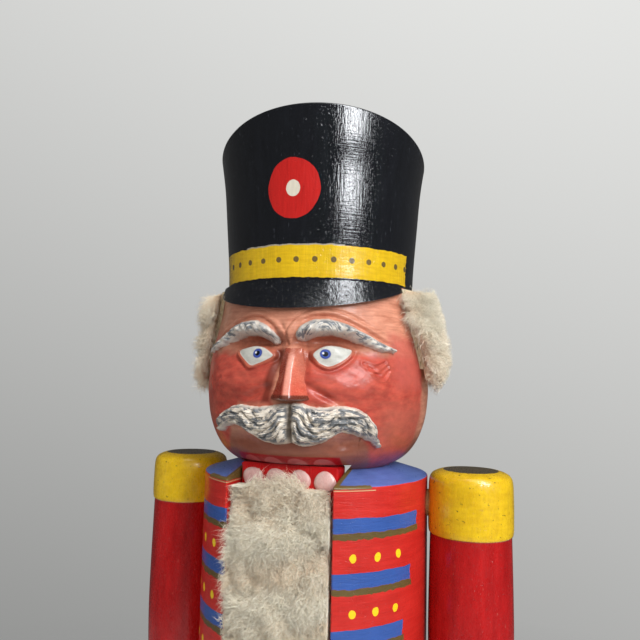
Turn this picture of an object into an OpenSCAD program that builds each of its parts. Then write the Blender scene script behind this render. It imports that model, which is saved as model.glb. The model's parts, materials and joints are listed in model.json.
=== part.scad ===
// Nutcracker figure: a turned and carved wooden guardsman whose jaw is one arm of a long hinged lever.
// Frame: the origin is at the centre of the base's underside, +Z is up and the face looks towards -Y.

/* [Base] */
// Width of the base, left to right
base_w = 96; // [86:1:110]
// Depth of the base, front to back
base_d = 88; // [84:1:104]
// Height of the base
base_h = 20; // [16:1:26]

/* [Legs] */
// Height of a leg, from the base to the trunk
leg_h = 106; // [96:1:120]
// Distance between the two leg axes
leg_pitch = 34.4; // [33:0.2:37]
// Height of the boot turned on the leg
boot_h = 44; // [34:1:56]

/* [Trunk] */
// Radius of the trunk
trunk_r = 35; // [34.6:0.2:36]
// Height of the trunk, up to the edge of the collar
trunk_h = 120; // [112:1:130]
// Rise of the collar's bevel
collar_h = 3.2; // [2:0.2:5]
// Width of the slot that the lever swings in
slot_w = 31.4; // [30.6:0.2:32]

/* [Lever] */
// Width of the lever
lever_w = 29.8; // [28:0.2:30]
// Depth of the jaw's face behind the front of the trunk
jaw_recess = 11; // [9:0.5:12]
// Depth of the lever's pin below the edge of the collar
pin_drop = 60; // [56:1:64]
// Diameter of the lever's pin
pin_d = 6; // [5:0.5:7]
// Length of the handle below the trunk's slot
handle_drop = 56; // [40:1:70]

/* [Head and hat] */
// Turn of the head and the hat on the trunk, in degrees
head_turn = 4; // [0:0.5:8]
// Height of the hat's lower rim above the edge of the collar
hat_seat = 56.5; // [56:0.5:58]
// Height of the middle of the hat's top above the edge of the collar
hat_top = 97.1; // [90:0.2:104]
// Slant of the hat's top, in degrees, with the front higher
hat_slant = 16; // [0:0.5:18]
// Turn of the highest point of the hat's top away from the middle of the face, in degrees
hat_skew = 10.5; // [0:0.5:15]

/* [Arms] */
// Distance from the trunk's axis to an arm's axis
arm_x = 47.8; // [47.8:0.1:50]
// Distance of the arms behind the trunk's axis
arm_y = 4; // [0:0.5:6]
// Radius of an arm at its shoulder cap
cap_r = 12.5; // [11:0.1:12.5]
// Length of an arm without its hand
arm_l = 82; // [74:1:90]

/* [Hair and beard] */
// Half of the bare arc that the hair leaves open round the face, in degrees
face_arc = 67; // [60:1:75]
// Length of the beard below the edge of the collar
beard_l = 64; // [50:1:64]

/* [Hidden] */
$fn = 96;
skin = "#d9735a";
red = "#c8242a";
blue = "#3f55a6";
yellow = "#f0cb1e";
black = "#17191b";
lime_wood = "#c79a63";
wool = "#cfc4ac";

seam = 0.02;                              // overlap that keeps joined shapes whole
collar_z = base_h + leg_h + trunk_h;      // the edge of the collar, where the head's levels start
collar_r = 24;                            // radius of the flat that carries the head
trunk_z = base_h + leg_h;
pin_z = collar_z - pin_drop;
pin_y = -4;
jaw_y = jaw_recess - trunk_r;             // the jaw's flat face
toe_r = pin_y - jaw_y;                    // the lever's toe is an arc about the pin
slot_floor = pin_z - toe_r - 0.5;
mouth_z = collar_z + 4.8;                 // underside of the upper jaw, between the cheeks
lip_z = mouth_z - 1.2;
dowel_r = 4;
shoulder_z = collar_z - 8;
neck_x = 19.8;
neck_dowel_r = 2.2;
wrist_dowel_r = 3;
hat_dowel_r = 5;
hide_t = 1.3;
// Lean of the hair hide's front edges, in degrees, with the top further forward
hide_lean = 8.5;

// Radius of the head at heights above the edge of the collar
HEAD = [[3.2, 23.8], [5.5, 27.5], [8.4, 30.3], [12.6, 32.6], [17.9, 34.2], [24, 34.9], [28, 34.9],
    [34, 34.4], [41, 33], [48, 31.5], [54, 30.7], [56.5, 30.4]];
// Radius of a leg at heights above the base, as parts of the boot's and of the trouser's height
BOOT = [[0, 12.8], [0.16, 12.6], [0.3, 12.2], [0.6, 13.2], [0.92, 14.8], [0.92, 15.4], [1, 15.4]];
TROUSER = [[0, 13.4], [0.3, 14], [0.65, 15], [0.88, 15.6], [1, 15.6]];

function arc(centre, radius, from, to, steps = 14) =
    [for (i = [0 : steps]) let (a = from + (to - from) * i / steps)
        centre + radius * [cos(a), sin(a)]];
function head_r(h) = lookup(h, HEAD);

// A solid with the given outline in the Y-Z plane, centred on X = 0
module side_cut(width) {
    rotate([90, 0, 90]) linear_extrude(width, center = true) children();
}

// A round bar along X or Z that starts at its origin
module bar_x(radius, length) {
    rotate([0, 90, 0]) cylinder(r = radius, h = length);
}

module at_left() { translate([arm_x, arm_y, 0]) children(); }
module both_sides() { for (side = [0, 1]) mirror([side, 0, 0]) children(); }

module base() {
    corner = 9;
    color(lime_wood) difference() {
        union() {
            base_plate(base_w, base_d, corner, 0, base_h - 3);
            base_plate(base_w - 6, base_d - 6, corner - 3, 0, base_h);
        }
        for (side = [-1, 1]) translate([side * leg_pitch / 2, 0, 0]) {
            translate([0, 0, -1]) cylinder(r = 2.2, h = base_h + 2);
            translate([0, 0, -1]) cylinder(r = 4.6, h = 3);
        }
    }
}

module base_plate(w, d, corner, z, h) {
    translate([0, 0, z]) linear_extrude(h) union() {
        square([w - 2 * corner, d], center = true);
        square([w, d - 2 * corner], center = true);
        for (x = [-1, 1], y = [-1, 1])
            translate([x * (w / 2 - corner), y * (d / 2 - corner)]) circle(corner);
    }
}

// Two wood screws that hold the legs from under the base
module base_screws() {
    color("silver") for (side = [-1, 1]) translate([side * leg_pitch / 2, 0, 0.6]) difference() {
        rotate_extrude() polygon([[0, 0], [4.2, 0], [4.2, 1.4], [2, 1.4], [2, base_h + 12],
            [0, base_h + 16]]);
        translate([-5, -0.5, -1]) cube([10, 1, 1.6]);
    }
}

module leg() {
    boot = [for (p = BOOT) [p[1], p[0] * boot_h]];
    trouser = [for (p = TROUSER) [p[1], boot_h + p[0] * (leg_h - boot_h)]];
    translate([leg_pitch / 2, 0, base_h]) difference() {
        rotate_extrude() polygon(concat([[0, 0]], boot, trouser, [[0, leg_h]]));
        translate([0, 0, leg_h - 12]) cylinder(r = dowel_r, h = 13);
        translate([0, 0, -1]) cylinder(r = 2, h = 18);
    }
}
module leg_left() { color(blue) leg(); }
module leg_right() { color(blue) mirror([1, 0, 0]) leg(); }

// The toe of a boot: a half-round block with a sloping top, hollowed to sit against the leg
module foot() {
    toe = 27;
    height = 17;
    translate([leg_pitch / 2, 0, base_h]) difference() {
        intersection() {
            linear_extrude(height) union() {
                translate([0, -toe]) circle(13.6);
                translate([-13.6, -toe]) square([27.2, toe - 2]);
            }
            side_cut(40) polygon(concat([[-2, 0], [-2, height]], [[-11, height]],
                arc([-toe - 6.6, 7], 7, 90, 180), [[-toe - 13.6, 0]]));
        }
        translate([0, 0, -1]) cylinder(r = 12.85, h = height + 2);
    }
}
module foot_left() { color(black) foot(); }
module foot_right() { color(black) mirror([1, 0, 0]) foot(); }

module hip_dowels() {
    color(lime_wood) for (side = [-1, 1])
        translate([side * leg_pitch / 2, 0, trunk_z - 12]) cylinder(r = dowel_r, h = 24);
}

module trunk() {
    edge = 1.5;
    color(red) difference() {
        translate([0, 0, trunk_z]) rotate([0, 0, 90]) rotate_extrude() polygon([[0, 0], [trunk_r - edge, 0],
            [trunk_r, edge], [trunk_r, trunk_h], [collar_r, trunk_h + collar_h],
            [0, trunk_h + collar_h]]);
        translate([-slot_w / 2, -trunk_r - 1, slot_floor])
            cube([slot_w, 2 * trunk_r + 2, collar_z]);
        translate([-trunk_r - 1, pin_y, pin_z]) bar_x(pin_d / 2 + 0.03, 2 * trunk_r + 2);
        for (side = [-1, 1]) translate([side * leg_pitch / 2, 0, trunk_z - 1])
            cylinder(r = dowel_r, h = 13);
        for (side = [-1, 1]) translate([side * neck_x, 0, collar_z + collar_h - 9])
            cylinder(r = neck_dowel_r, h = 10);
        for (side = [-1, 1]) translate([side * 30, arm_y, shoulder_z]) rotate([0, 90, 0])
            cylinder(r = dowel_r, h = 12, center = true);
    }
}

// The pin that the lever turns on, let into the trunk from side to side
module jaw_pin() {
    reach = sqrt(trunk_r * trunk_r - pin_y * pin_y) - 0.8;
    color("tan") translate([-reach, pin_y, pin_z]) bar_x(pin_d / 2, 2 * reach);
}

// Side outline of the lever: the lip and the nut's seat at the top, the toe round the pin,
// and the handle that hangs behind the trunk
function lever_outline() = let (back = trunk_r + 0.7, heel = pin_z - toe_r, tip = slot_floor - handle_drop)
    concat([[jaw_y, lip_z]], arc([pin_y, pin_z], toe_r, 180, 270),
        [[back, heel + 1.5], [back + 1.5, heel - 24], [back + 7, tip + 6]],
        arc([back + 13, tip + 6], 6, 180, 360),
        [[back + 17.5, heel - 20], [back + 15, heel + 14]],
        arc([back + 3, heel + 26], 12, 0, 78),
        [[30, collar_z - 22], [-13, collar_z - 12.5], [-16.5, collar_z - 9], [-17.3, lip_z]]);

module jaw_lever() {
    waist = pin_z - toe_r - 14;
    color(red) difference() {
        intersection() {
            side_cut(lever_w) polygon(lever_outline());
            rotate([90, 0, 0]) linear_extrude(300, center = true) polygon(concat(
                [[-lever_w / 2, collar_z + 10], [-lever_w / 2, waist]],
                arc([-5, slot_floor - handle_drop + 6], 6, 180, 270),
                arc([5, slot_floor - handle_drop + 6], 6, 270, 360),
                [[lever_w / 2, waist], [lever_w / 2, collar_z + 10]]));
        }
        translate([-trunk_r, pin_y, pin_z]) bar_x(pin_d / 2 + 0.08, 2 * trunk_r);
    }
}

// The skin that the beard grows on, glued to the face of the jaw
module beard_hide() {
    color("wheat") translate([-13.5, jaw_y - hide_t, pin_z - 1])
        cube([27, hide_t, pin_drop - 9]);
}

// The body of the beard: a rounded wedge of wool that fills the slot and stands out of it
module beard_fur() {
    bottom = collar_z - beard_l;
    width = 29.6;
    back = jaw_y - hide_t;
    color(wool) intersection() {
        side_cut(width) polygon(concat([[back, bottom + 5]], arc([back - 11, bottom + 7], 7, 290, 180),
            [[back - 18, collar_z - 20]], arc([back - 8, collar_z - 15], 10, 180, 90),
            [[back, collar_z - 5]]));
        translate([0, 0, bottom - 1]) linear_extrude(beard_l) union() {
            translate([-width / 2, back - 8]) square([width, 8]);
            translate([-width / 2 + 8, back - 18]) square([width - 16, 18]);
            for (side = [-1, 1]) translate([side * (width / 2 - 8), back - 8]) circle(8);
        }
    }
}

module neck_dowels() {
    color(lime_wood) for (side = [-1, 1])
        translate([side * neck_x, 0, collar_z + collar_h - 8]) cylinder(r = neck_dowel_r, h = 18);
}

// A carved roll on the face: part of a ring that lies on the head and dips towards its outer end
module face_roll(ring_r, height, half_angle, dip, thick) {
    translate([0, 0, height]) rotate([0, dip, 0]) rotate([0, 0, -90])
        rotate_extrude(angle = half_angle) translate([ring_r, 0]) circle(thick);
}

// The turned block that the face is carved from, with its zero level at the edge of the collar
module head_block() {
    rotate_extrude() polygon(concat([[0, HEAD[0][0]]], [for (p = HEAD) [p[1], p[0]]], [[0, hat_seat]]));
}

module head() {
    socket_r = 7;
    color(skin) difference() {
        union() {
            translate([0, 0, collar_z]) difference() {
                head_block();
                rotate([0, 0, head_turn]) for (eye = [-18.6, 18.6]) rotate([0, 0, eye])
                    translate([0, -36, 36]) sphere(socket_r);
            }
            translate([0, 0, collar_z]) rotate([0, 0, head_turn]) {
                for (eye = [-18.6, 18.6]) rotate([0, 0, eye]) translate([0, -26, 35.6]) sphere(5.6);
                both_sides() rotate([0, 0, 4]) face_roll(30.5, 41, 44, 5, 2.9);
                both_sides() face_roll(30.6, 19, 38, 12, 5);
            }
        }
        translate([-slot_w / 2, -trunk_r - 1, collar_z]) cube([slot_w, 2 * trunk_r + 2, 4.8]);
        for (side = [-1, 1]) translate([side * neck_x, 0, collar_z - 1])
            cylinder(r = neck_dowel_r, h = 11 + collar_h);
        translate([0, 0, collar_z + hat_seat - 12]) cylinder(r = hat_dowel_r, h = 13);
    }
}

// The nose: a wedge with a flat underside, glued to the face
module nose() {
    color(skin) rotate([0, 0, head_turn]) translate([0, 0, collar_z]) difference() {
        intersection() {
            side_cut(14) polygon([[-30, 23.5], [-40.3, 23.5], [-33.8, 38], [-30, 38]]);
            rotate([90, 0, 0]) linear_extrude(50) polygon([[-6, 23.5], [6, 23.5], [2.8, 38], [-2.8, 38]]);
        }
        head_block();
    }
}

// The hat's peak: a thin crescent round the brow, cut off by a slanted plane
module visor() {
    rise = 20;
    reach = face_arc - 0.6;
    color(black) rotate([0, 0, head_turn]) translate([0, 0, collar_z]) intersection() {
        rotate([0, 0, -90 - reach]) rotate_extrude(angle = 2 * reach) polygon([[31.6, 47.6], [33, 47.6],
            [32.1, hat_seat], [30.5, hat_seat], [30.8, 54]]);
        translate([0, 0, 59.4]) rotate([rise, 0, 0]) translate([-50, -50, 0]) cube([100, 100, 60]);
    }
}

// The band of skin that carries the hair, bent round the back of the head
module hair_hide() {
    heights = [32.5, 36, 41, 48, 56];
    color("wheat") intersection() {
        hair_sweep(face_arc - 2) polygon(concat(
            [for (h = heights) [head_r(h) + 0.1, h]],
            [for (i = [4 : -1 : 0]) [head_r(heights[i]) + hide_t, heights[i]]]));
        rotate([0, 0, head_turn]) translate([-50, -12, collar_z + 56]) rotate([hide_lean, 0, 0])
            translate([0, 0, -50]) cube([100, 100, 100]);
    }
}

// The wool of the hair, as a thick roll on its hide
module hair_fur() {
    heights = [54, 48, 41, 34, 29];
    color(wool) hair_sweep(face_arc + 8) polygon(concat(
        [for (a = [-66 : 12 : 78]) [head_r(42) + hide_t + 0.4 + 7.2 * cos(a), 41 + 14.8 * sin(a)]],
        [for (h = heights) [head_r(h) + hide_t + 0.3, h]]));
}

module hair_sweep(open_half) {
    rotate([0, 0, head_turn - 90 + open_half]) translate([0, 0, collar_z])
        rotate_extrude(angle = 360 - 2 * open_half) children();
}

module hat_dowel() {
    color(lime_wood) translate([0, 0, collar_z + hat_seat - 11]) cylinder(r = hat_dowel_r, h = 23);
}

// The shako: a cone that widens upwards, with a slanted top and a hole for its dowel
module hat() {
    color(black) rotate([0, 0, head_turn]) translate([0, 0, collar_z]) difference() {
        rotate_extrude() polygon([[0, hat_seat], [29.7, hat_seat], [30, 64], [31, 77], [32, 89],
            [33.4, 99], [34.5, 112], [0, 112]]);
        translate([0, 0, hat_top]) rotate([0, 0, hat_skew]) rotate([-hat_slant, 0, 0])
            translate([-60, -60, 0]) cube([120, 120, 60]);
        cylinder(r = hat_dowel_r, h = hat_seat + 13);
    }
}

// A turned arm: the shoulder cap, a sleeve with a slight belly, and the cuff
module arm() {
    top = 2.6;
    edge = 4.2;
    cap_end = -15.7;
    cuff = top - arm_l;
    at_left() translate([0, 0, collar_z]) difference() {
        rotate_extrude() polygon(concat([[0, top]], arc([cap_r - edge, top - edge], edge, 90, 0, 8),
            [[cap_r, cap_end], [11.7, cap_end - 0.4], [12.1, -34], [12.3, -48], [11.7, cuff + 12],
            [12.4, cuff + 11], [12.4, cuff + 1], [11.6, cuff], [0, cuff]]));
        translate([0, 0, -8]) rotate([0, -90, 0]) cylinder(r = dowel_r, h = 20);
        translate([0, 0, -8]) rotate([0, 90, 0]) cylinder(r = dowel_r, h = 2);
        translate([0, 0, cuff - 1]) cylinder(r = wrist_dowel_r, h = 11);
    }
}
module arm_left() { color(red) arm(); }
module arm_right() { color(red) mirror([1, 0, 0]) arm(); }

module shoulder_dowels() {
    color(lime_wood) for (side = [-1, 1]) translate([side * (24 + arm_x + 2) / 2, arm_y, shoulder_z])
        rotate([0, 90, 0]) cylinder(r = dowel_r, h = arm_x + 2 - 24, center = true);
}

// A closed fist below the cuff
module hand() {
    cuff = collar_z + 2.6 - arm_l;
    at_left() translate([0, 0, cuff - 9]) difference() {
        intersection() {
            sphere(12.2);
            translate([-9, -11, -10.5]) cube([18, 21, 19.5]);
        }
        translate([0, 0, -2]) cylinder(r = wrist_dowel_r, h = 14);
    }
}
module hand_left() { color(skin) hand(); }
module hand_right() { color(skin) mirror([1, 0, 0]) hand(); }

module wrist_dowels() {
    cuff = collar_z + 2.6 - arm_l;
    color(lime_wood) for (side = [-1, 1]) translate([side * arm_x, arm_y, cuff - 11])
        cylinder(r = wrist_dowel_r, h = 21);
}

base();
base_screws();
leg_left();
leg_right();
foot_left();
foot_right();
hip_dowels();
trunk();
jaw_pin();
jaw_lever();
beard_hide();
beard_fur();
neck_dowels();
head();
nose();
visor();
hair_hide();
hair_fur();
hat_dowel();
hat();
arm_left();
arm_right();
shoulder_dowels();
hand_left();
hand_right();
wrist_dowels();
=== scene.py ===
"""The looks of the nutcracker figure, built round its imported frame. Mesh code works in millimetres."""

import json
import math

import bmesh
import bpy
import numpy as np
from mathutils import Matrix, Vector


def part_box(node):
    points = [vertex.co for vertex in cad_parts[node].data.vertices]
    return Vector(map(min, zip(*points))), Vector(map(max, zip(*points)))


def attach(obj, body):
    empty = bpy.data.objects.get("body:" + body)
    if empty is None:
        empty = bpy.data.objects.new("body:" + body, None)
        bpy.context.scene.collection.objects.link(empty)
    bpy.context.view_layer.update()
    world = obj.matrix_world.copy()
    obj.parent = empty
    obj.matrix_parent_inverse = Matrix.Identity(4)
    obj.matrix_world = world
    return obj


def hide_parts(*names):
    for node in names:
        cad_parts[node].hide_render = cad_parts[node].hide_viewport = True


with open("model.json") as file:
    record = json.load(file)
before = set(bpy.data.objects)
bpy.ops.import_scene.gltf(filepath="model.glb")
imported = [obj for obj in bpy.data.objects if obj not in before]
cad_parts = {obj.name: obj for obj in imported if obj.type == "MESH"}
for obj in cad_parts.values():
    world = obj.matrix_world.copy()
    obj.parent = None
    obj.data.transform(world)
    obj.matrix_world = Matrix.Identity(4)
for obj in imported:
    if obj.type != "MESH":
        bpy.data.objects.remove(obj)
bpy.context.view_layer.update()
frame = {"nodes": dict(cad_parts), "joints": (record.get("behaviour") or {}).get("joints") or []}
NODES = frame["nodes"]
MM = 0.001


def box_mm(node):
    """Low and high corner of a CAD node, in millimetres."""
    low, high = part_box(node)
    return np.array(low) / MM, np.array(high) / MM


# ---------------------------------------------------------------- places, from the frame
COLLAR_RISE = 3.2                          # of the collar's cone over the trunk's shoulder
HEAD_TURN = 4.0                            # of the face, in degrees to the figure's left
TRUNK_LOW, TRUNK_HIGH = box_mm("trunk")
TRUNK_R = TRUNK_HIGH[0]
COLLAR = TRUNK_HIGH[2] - COLLAR_RISE       # the collar's edge: the head's and the coat's zero level
SLOT_HALF = 15.7                           # half the width of the slot in the trunk
ARM_LOW, ARM_HIGH = box_mm("arm_left")
ARM_X = (ARM_LOW[0] + ARM_HIGH[0]) / 2
ARM_Y = (ARM_LOW[1] + ARM_HIGH[1]) / 2
CUFF = ARM_LOW[2]
LEG_LOW, LEG_HIGH = box_mm("leg_left")
LEG_X = (LEG_LOW[0] + LEG_HIGH[0]) / 2
BASE_HIGH = box_mm("base")[1]
LEVER_LOW, LEVER_HIGH = box_mm("jaw_lever")
PIN = np.array(frame["joints"][0]["pos_m"]) / MM
SLOT_FLOOR = PIN[2] - (PIN[1] - LEVER_LOW[1]) - 0.5
JAW_FACE = LEVER_LOW[1]
SIDES = {1: "left", -1: "right"}           # of the figure
CAP_END = {1: -15.7, -1: -12.6}            # lower edge of each yellow shoulder cap

# Radius of the head at heights above the collar's edge
HEAD_SHAPE = np.array([[3.2, 23.8], [5.5, 27.5], [8.4, 30.3], [12.6, 32.6], [17.9, 34.2], [24, 34.9],
                       [28, 34.9], [34, 34.4], [41, 33], [48, 31.5], [54, 30.7], [56.5, 30.4]])


def catmull_rom(a, b, c, d, f):
    """The point of the smooth curve through a, b, c and d at share f of the way from b to c."""
    return 0.5 * (2 * b + (c - a) * f + (2 * a - 5 * b + 4 * c - d) * f ** 2
                  + (3 * b - a - 3 * c + d) * f ** 3)


def smooth_curve(points, count):
    """A Catmull-Rom curve through the points, sampled evenly in parameter."""
    p = np.asarray(points, float)
    p = np.vstack([2 * p[0] - p[1], p, 2 * p[-1] - p[-2]])
    t = np.linspace(0, len(p) - 3 - 1e-9, count)
    i = t.astype(int)
    return catmull_rom(p[i], p[i + 1], p[i + 2], p[i + 3], (t - i)[:, None])


HEAD_CURVE = smooth_curve(HEAD_SHAPE, 160)


def head_radius(height):
    """Radius of the head at a height above the collar's edge."""
    return np.interp(height, HEAD_CURVE[:, 0], HEAD_CURVE[:, 1])


# ---------------------------------------------------------------- mesh helpers
def make_piece(name, verts, faces, material, sharp=35, attributes=None):
    """A mesh object from millimetre coordinates, shaded smooth except at sharp edges."""
    mesh = bpy.data.meshes.new(name)
    mesh.from_pydata((np.asarray(verts, float) * MM).tolist(), [], faces)
    mesh.update()
    for label, values in (attributes or {}).items():
        layer = mesh.attributes.new(label, "FLOAT", "POINT")
        layer.data.foreach_set("value", np.asarray(values, np.float32))
    bm = bmesh.new()
    bm.from_mesh(mesh)
    bmesh.ops.recalc_face_normals(bm, faces=bm.faces)
    bm.to_mesh(mesh)
    bm.free()
    mesh.polygons.foreach_set("use_smooth", [True] * len(mesh.polygons))
    mesh.set_sharp_from_angle(angle=math.radians(sharp))
    mesh.materials.append(material)
    piece = bpy.data.objects.new(name, mesh)
    bpy.context.scene.collection.objects.link(piece)
    return piece


def loft(loops, caps=True, offset=0):
    """Vertices and faces of a skin over closed loops that all have the same number of points."""
    loops = np.asarray(loops, float)
    rows, n = loops.shape[:2]
    faces = []
    for r in range(rows - 1):
        a, b = offset + r * n, offset + (r + 1) * n
        faces += [(a + i, a + (i + 1) % n, b + (i + 1) % n, b + i) for i in range(n)]
    if caps:
        faces += [tuple(offset + i for i in range(n))[::-1],
                  tuple(offset + (rows - 1) * n + i for i in range(n))]
    return loops.reshape(-1, 3), faces


def rounded_profile(corners, steps=5):
    """Points (radius, height) along an outline whose corners (radius, height, rounding) are filleted."""
    out = []
    for i, (r, z, rounding) in enumerate(corners):
        here = np.array([r, z], float)
        if rounding == 0 or i in (0, len(corners) - 1):
            out.append(here)
            continue
        before, after = np.array(corners[i - 1][:2], float), np.array(corners[i + 1][:2], float)
        a = here + (before - here) / np.linalg.norm(before - here) * rounding
        b = here + (after - here) / np.linalg.norm(after - here) * rounding
        for t in np.linspace(0, 1, steps):
            out.append((1 - t) ** 2 * a + 2 * t * (1 - t) * here + t ** 2 * b)
    return np.array(out)


def finely(profile, step):
    """The same outline with extra points, so that no stretch is longer than step."""
    out = [profile[0]]
    for a, b in zip(profile[:-1], profile[1:]):
        n = max(1, int(np.linalg.norm(b - a) / step))
        out += [a + (b - a) * (k + 1) / n for k in range(n)]
    return np.array(out)


def turned(profile, centre=(0, 0, 0), columns=160):
    """Loops of a turned shape from its (radius, height) outline."""
    angle = np.linspace(0, 2 * math.pi, columns, endpoint=False)
    ring = np.stack([np.sin(angle), -np.cos(angle)], 1)
    loops = [np.column_stack([ring * max(r, 0.01), np.full(columns, z)]) for r, z in profile]
    return np.array(loops) + np.array(centre, float)


def mirrored(verts):
    """The same points on the other side of the figure."""
    return np.asarray(verts) * np.array([-1, 1, 1])


def settle(piece, body, slot, *nodes):
    """Rides the piece on its body and hides the CAD nodes that it stands for. The finish's name, slot, is
    not used.
    """
    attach(piece, body)
    if nodes:
        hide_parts(*nodes)


# ---------------------------------------------------------------- material helpers
def reckon(operation, swapped=False):
    """A method that puts a field through one of the shader's sums."""
    def method(self, *other):
        values = (*other, self) if swapped else (self, *other)
        return self.paint.math(operation, *values)
    return method


class Field:
    """A value that varies over a surface: an output socket that can be reckoned with like a number."""

    __array_ufunc__ = None                 # so that numpy's numbers leave the reckoning to this class
    __add__, __radd__ = reckon("ADD"), reckon("ADD", swapped=True)
    __sub__, __rsub__ = reckon("SUBTRACT"), reckon("SUBTRACT", swapped=True)
    __mul__, __rmul__ = reckon("MULTIPLY"), reckon("MULTIPLY", swapped=True)
    __truediv__, __abs__ = reckon("DIVIDE"), reckon("ABSOLUTE")

    def __init__(self, paint, socket):
        self.paint = paint
        self.socket = socket


class Paint:
    """Builds one material's nodes. Methods take numbers, colours or fields and return fields."""

    def __init__(self, name):
        self.material = bpy.data.materials.new(name)
        self.material.use_nodes = True
        self.tree = self.material.node_tree
        self.tree.nodes.clear()
        output = self.tree.nodes.new("ShaderNodeOutputMaterial")
        self.shader = self.tree.nodes.new("ShaderNodeBsdfPrincipled")
        self.tree.links.new(self.shader.outputs[0], output.inputs[0])
        coords = self.tree.nodes.new("ShaderNodeTexCoord")
        self.place = self.vector("SCALE", Field(self, coords.outputs["Object"]), scale=1 / MM)
        self.x, self.y, self.z = self.separate(self.place)

    def feed(self, socket, value):
        """Links a field to an input, or sets the input to a number or a colour."""
        if isinstance(value, Field):
            self.tree.links.new(value.socket, socket)
        elif isinstance(value, (tuple, list)):
            socket.default_value = tuple(value)[:3] + (1,) * (len(socket.default_value) - 3)
        else:
            socket.default_value = value

    def math(self, operation, *values, clamp=False):
        """One of the shader's sums, by its name."""
        node = self.tree.nodes.new("ShaderNodeMath")
        node.operation = operation
        node.use_clamp = clamp
        for socket, value in zip(node.inputs, values):
            self.feed(socket, value)
        return Field(self, node.outputs[0])

    def separate(self, value):
        """The three parts of a vector."""
        node = self.tree.nodes.new("ShaderNodeSeparateXYZ")
        self.feed(node.inputs[0], value)
        return [Field(self, socket) for socket in node.outputs]

    def combine(self, *values):
        """A vector of three parts."""
        node = self.tree.nodes.new("ShaderNodeCombineXYZ")
        for socket, value in zip(node.inputs, values):
            self.feed(socket, value)
        return Field(self, node.outputs[0])

    def least(self, first, *rest):
        """The smallest of the values: where all of several shapes overlap."""
        for value in rest:
            first = self.math("MINIMUM", first, value)
        return first

    def most(self, first, *rest):
        """The largest of the values: where any of several shapes is."""
        for value in rest:
            first = self.math("MAXIMUM", first, value)
        return first

    def vector(self, operation, a, b=None, scale=None):
        node = self.tree.nodes.new("ShaderNodeVectorMath")
        node.operation = operation
        self.feed(node.inputs[0], a)
        if b is not None:
            node.inputs[1].default_value = b
        if scale is not None:
            node.inputs["Scale"].default_value = scale
        return Field(self, node.outputs[0])

    def noise(self, stretch=(1, 1, 1), detail=3.0, roughness=0.55, distortion=0.0, at=None, shift=0.0):
        """Noise of about one feature per millimetre, before the stretch is applied."""
        node = self.tree.nodes.new("ShaderNodeTexNoise")
        moved = self.vector("ADD", self.vector("MULTIPLY", at or self.place, stretch), (shift,) * 3)
        self.feed(node.inputs["Vector"], moved)
        node.inputs["Scale"].default_value = 1.0
        node.inputs["Detail"].default_value = detail
        node.inputs["Roughness"].default_value = roughness
        node.inputs["Distortion"].default_value = distortion
        return Field(self, node.outputs["Fac"])

    def attribute(self, label):
        """A value stored on the mesh's points."""
        node = self.tree.nodes.new("ShaderNodeAttribute")
        node.attribute_name = label
        return Field(self, node.outputs["Fac"])

    def inside(self, distance, soft=0.12):
        """1 where the signed distance is positive, with an edge soft millimetres wide."""
        return self.math("MULTIPLY_ADD", distance, 1 / soft, 0.5, clamp=True)

    def spread(self, value, low, high, to_low=0.0, to_high=1.0):
        """Maps low to high onto to_low to to_high, and holds the ends."""
        node = self.tree.nodes.new("ShaderNodeMapRange")
        node.clamp = True
        for socket, part in zip(node.inputs, (value, low, high, to_low, to_high)):
            self.feed(socket, part)
        return Field(self, node.outputs[0])

    def mix(self, amount, a, b, blend="MIX"):
        """Colour a where the amount is 0, colour b where it is 1."""
        node = self.tree.nodes.new("ShaderNodeMix")
        node.data_type = "RGBA"
        node.blend_type = blend
        self.feed(node.inputs[0], amount)
        self.feed(node.inputs[6], a)
        self.feed(node.inputs[7], b)
        return Field(self, node.outputs[2])

    def angle(self, centre_x=0.0, centre_y=0.0, turn=0.0):
        """Degrees round an upright axis: 0 at the front, positive towards the figure's left."""
        radians = self.math("ARCTAN2", self.x - centre_x, centre_y - self.y)
        degrees = self.math("DEGREES", radians)
        return degrees - turn if turn else degrees

    def radius(self, centre_x=0.0, centre_y=0.0):
        """Distance from an upright axis."""
        dx, dy = self.x - centre_x, self.y - centre_y
        return self.math("SQRT", dx * dx + dy * dy)

    def bump(self, height, depth):
        """The normal of a relief of the given depth in millimetres."""
        node = self.tree.nodes.new("ShaderNodeBump")
        node.inputs["Strength"].default_value = 1.0
        node.inputs["Distance"].default_value = depth * MM
        self.feed(node.inputs["Height"], height)
        return Field(self, node.outputs[0])

    def y_front(self):
        """Positive on the front half of the figure."""
        return self.y * -1.0

    def finish(self, colour, roughness, normal=None, coat=0.0, coat_roughness=0.1, sheen=0.0, metal=0.0):
        """Sets the shader and hands back the material."""
        shader = self.shader.inputs
        self.feed(shader["Base Color"], colour)
        self.feed(shader["Roughness"], roughness)
        self.feed(shader["Metallic"], metal)
        shader["Coat Weight"].default_value = coat
        shader["Coat Roughness"].default_value = coat_roughness
        shader["Sheen Weight"].default_value = sheen
        if normal is not None:
            self.feed(shader["Normal"], normal)
            if coat:
                self.feed(shader["Coat Normal"], normal)
        return self.material


def srgb(r, g, b):
    """Linear colour from the 0 to 255 values of a paint chip."""
    return tuple(c / 12.92 if c <= 0.04045 else ((c + 0.055) / 1.055) ** 2.4
                 for c in (r / 255, g / 255, b / 255))


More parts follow.
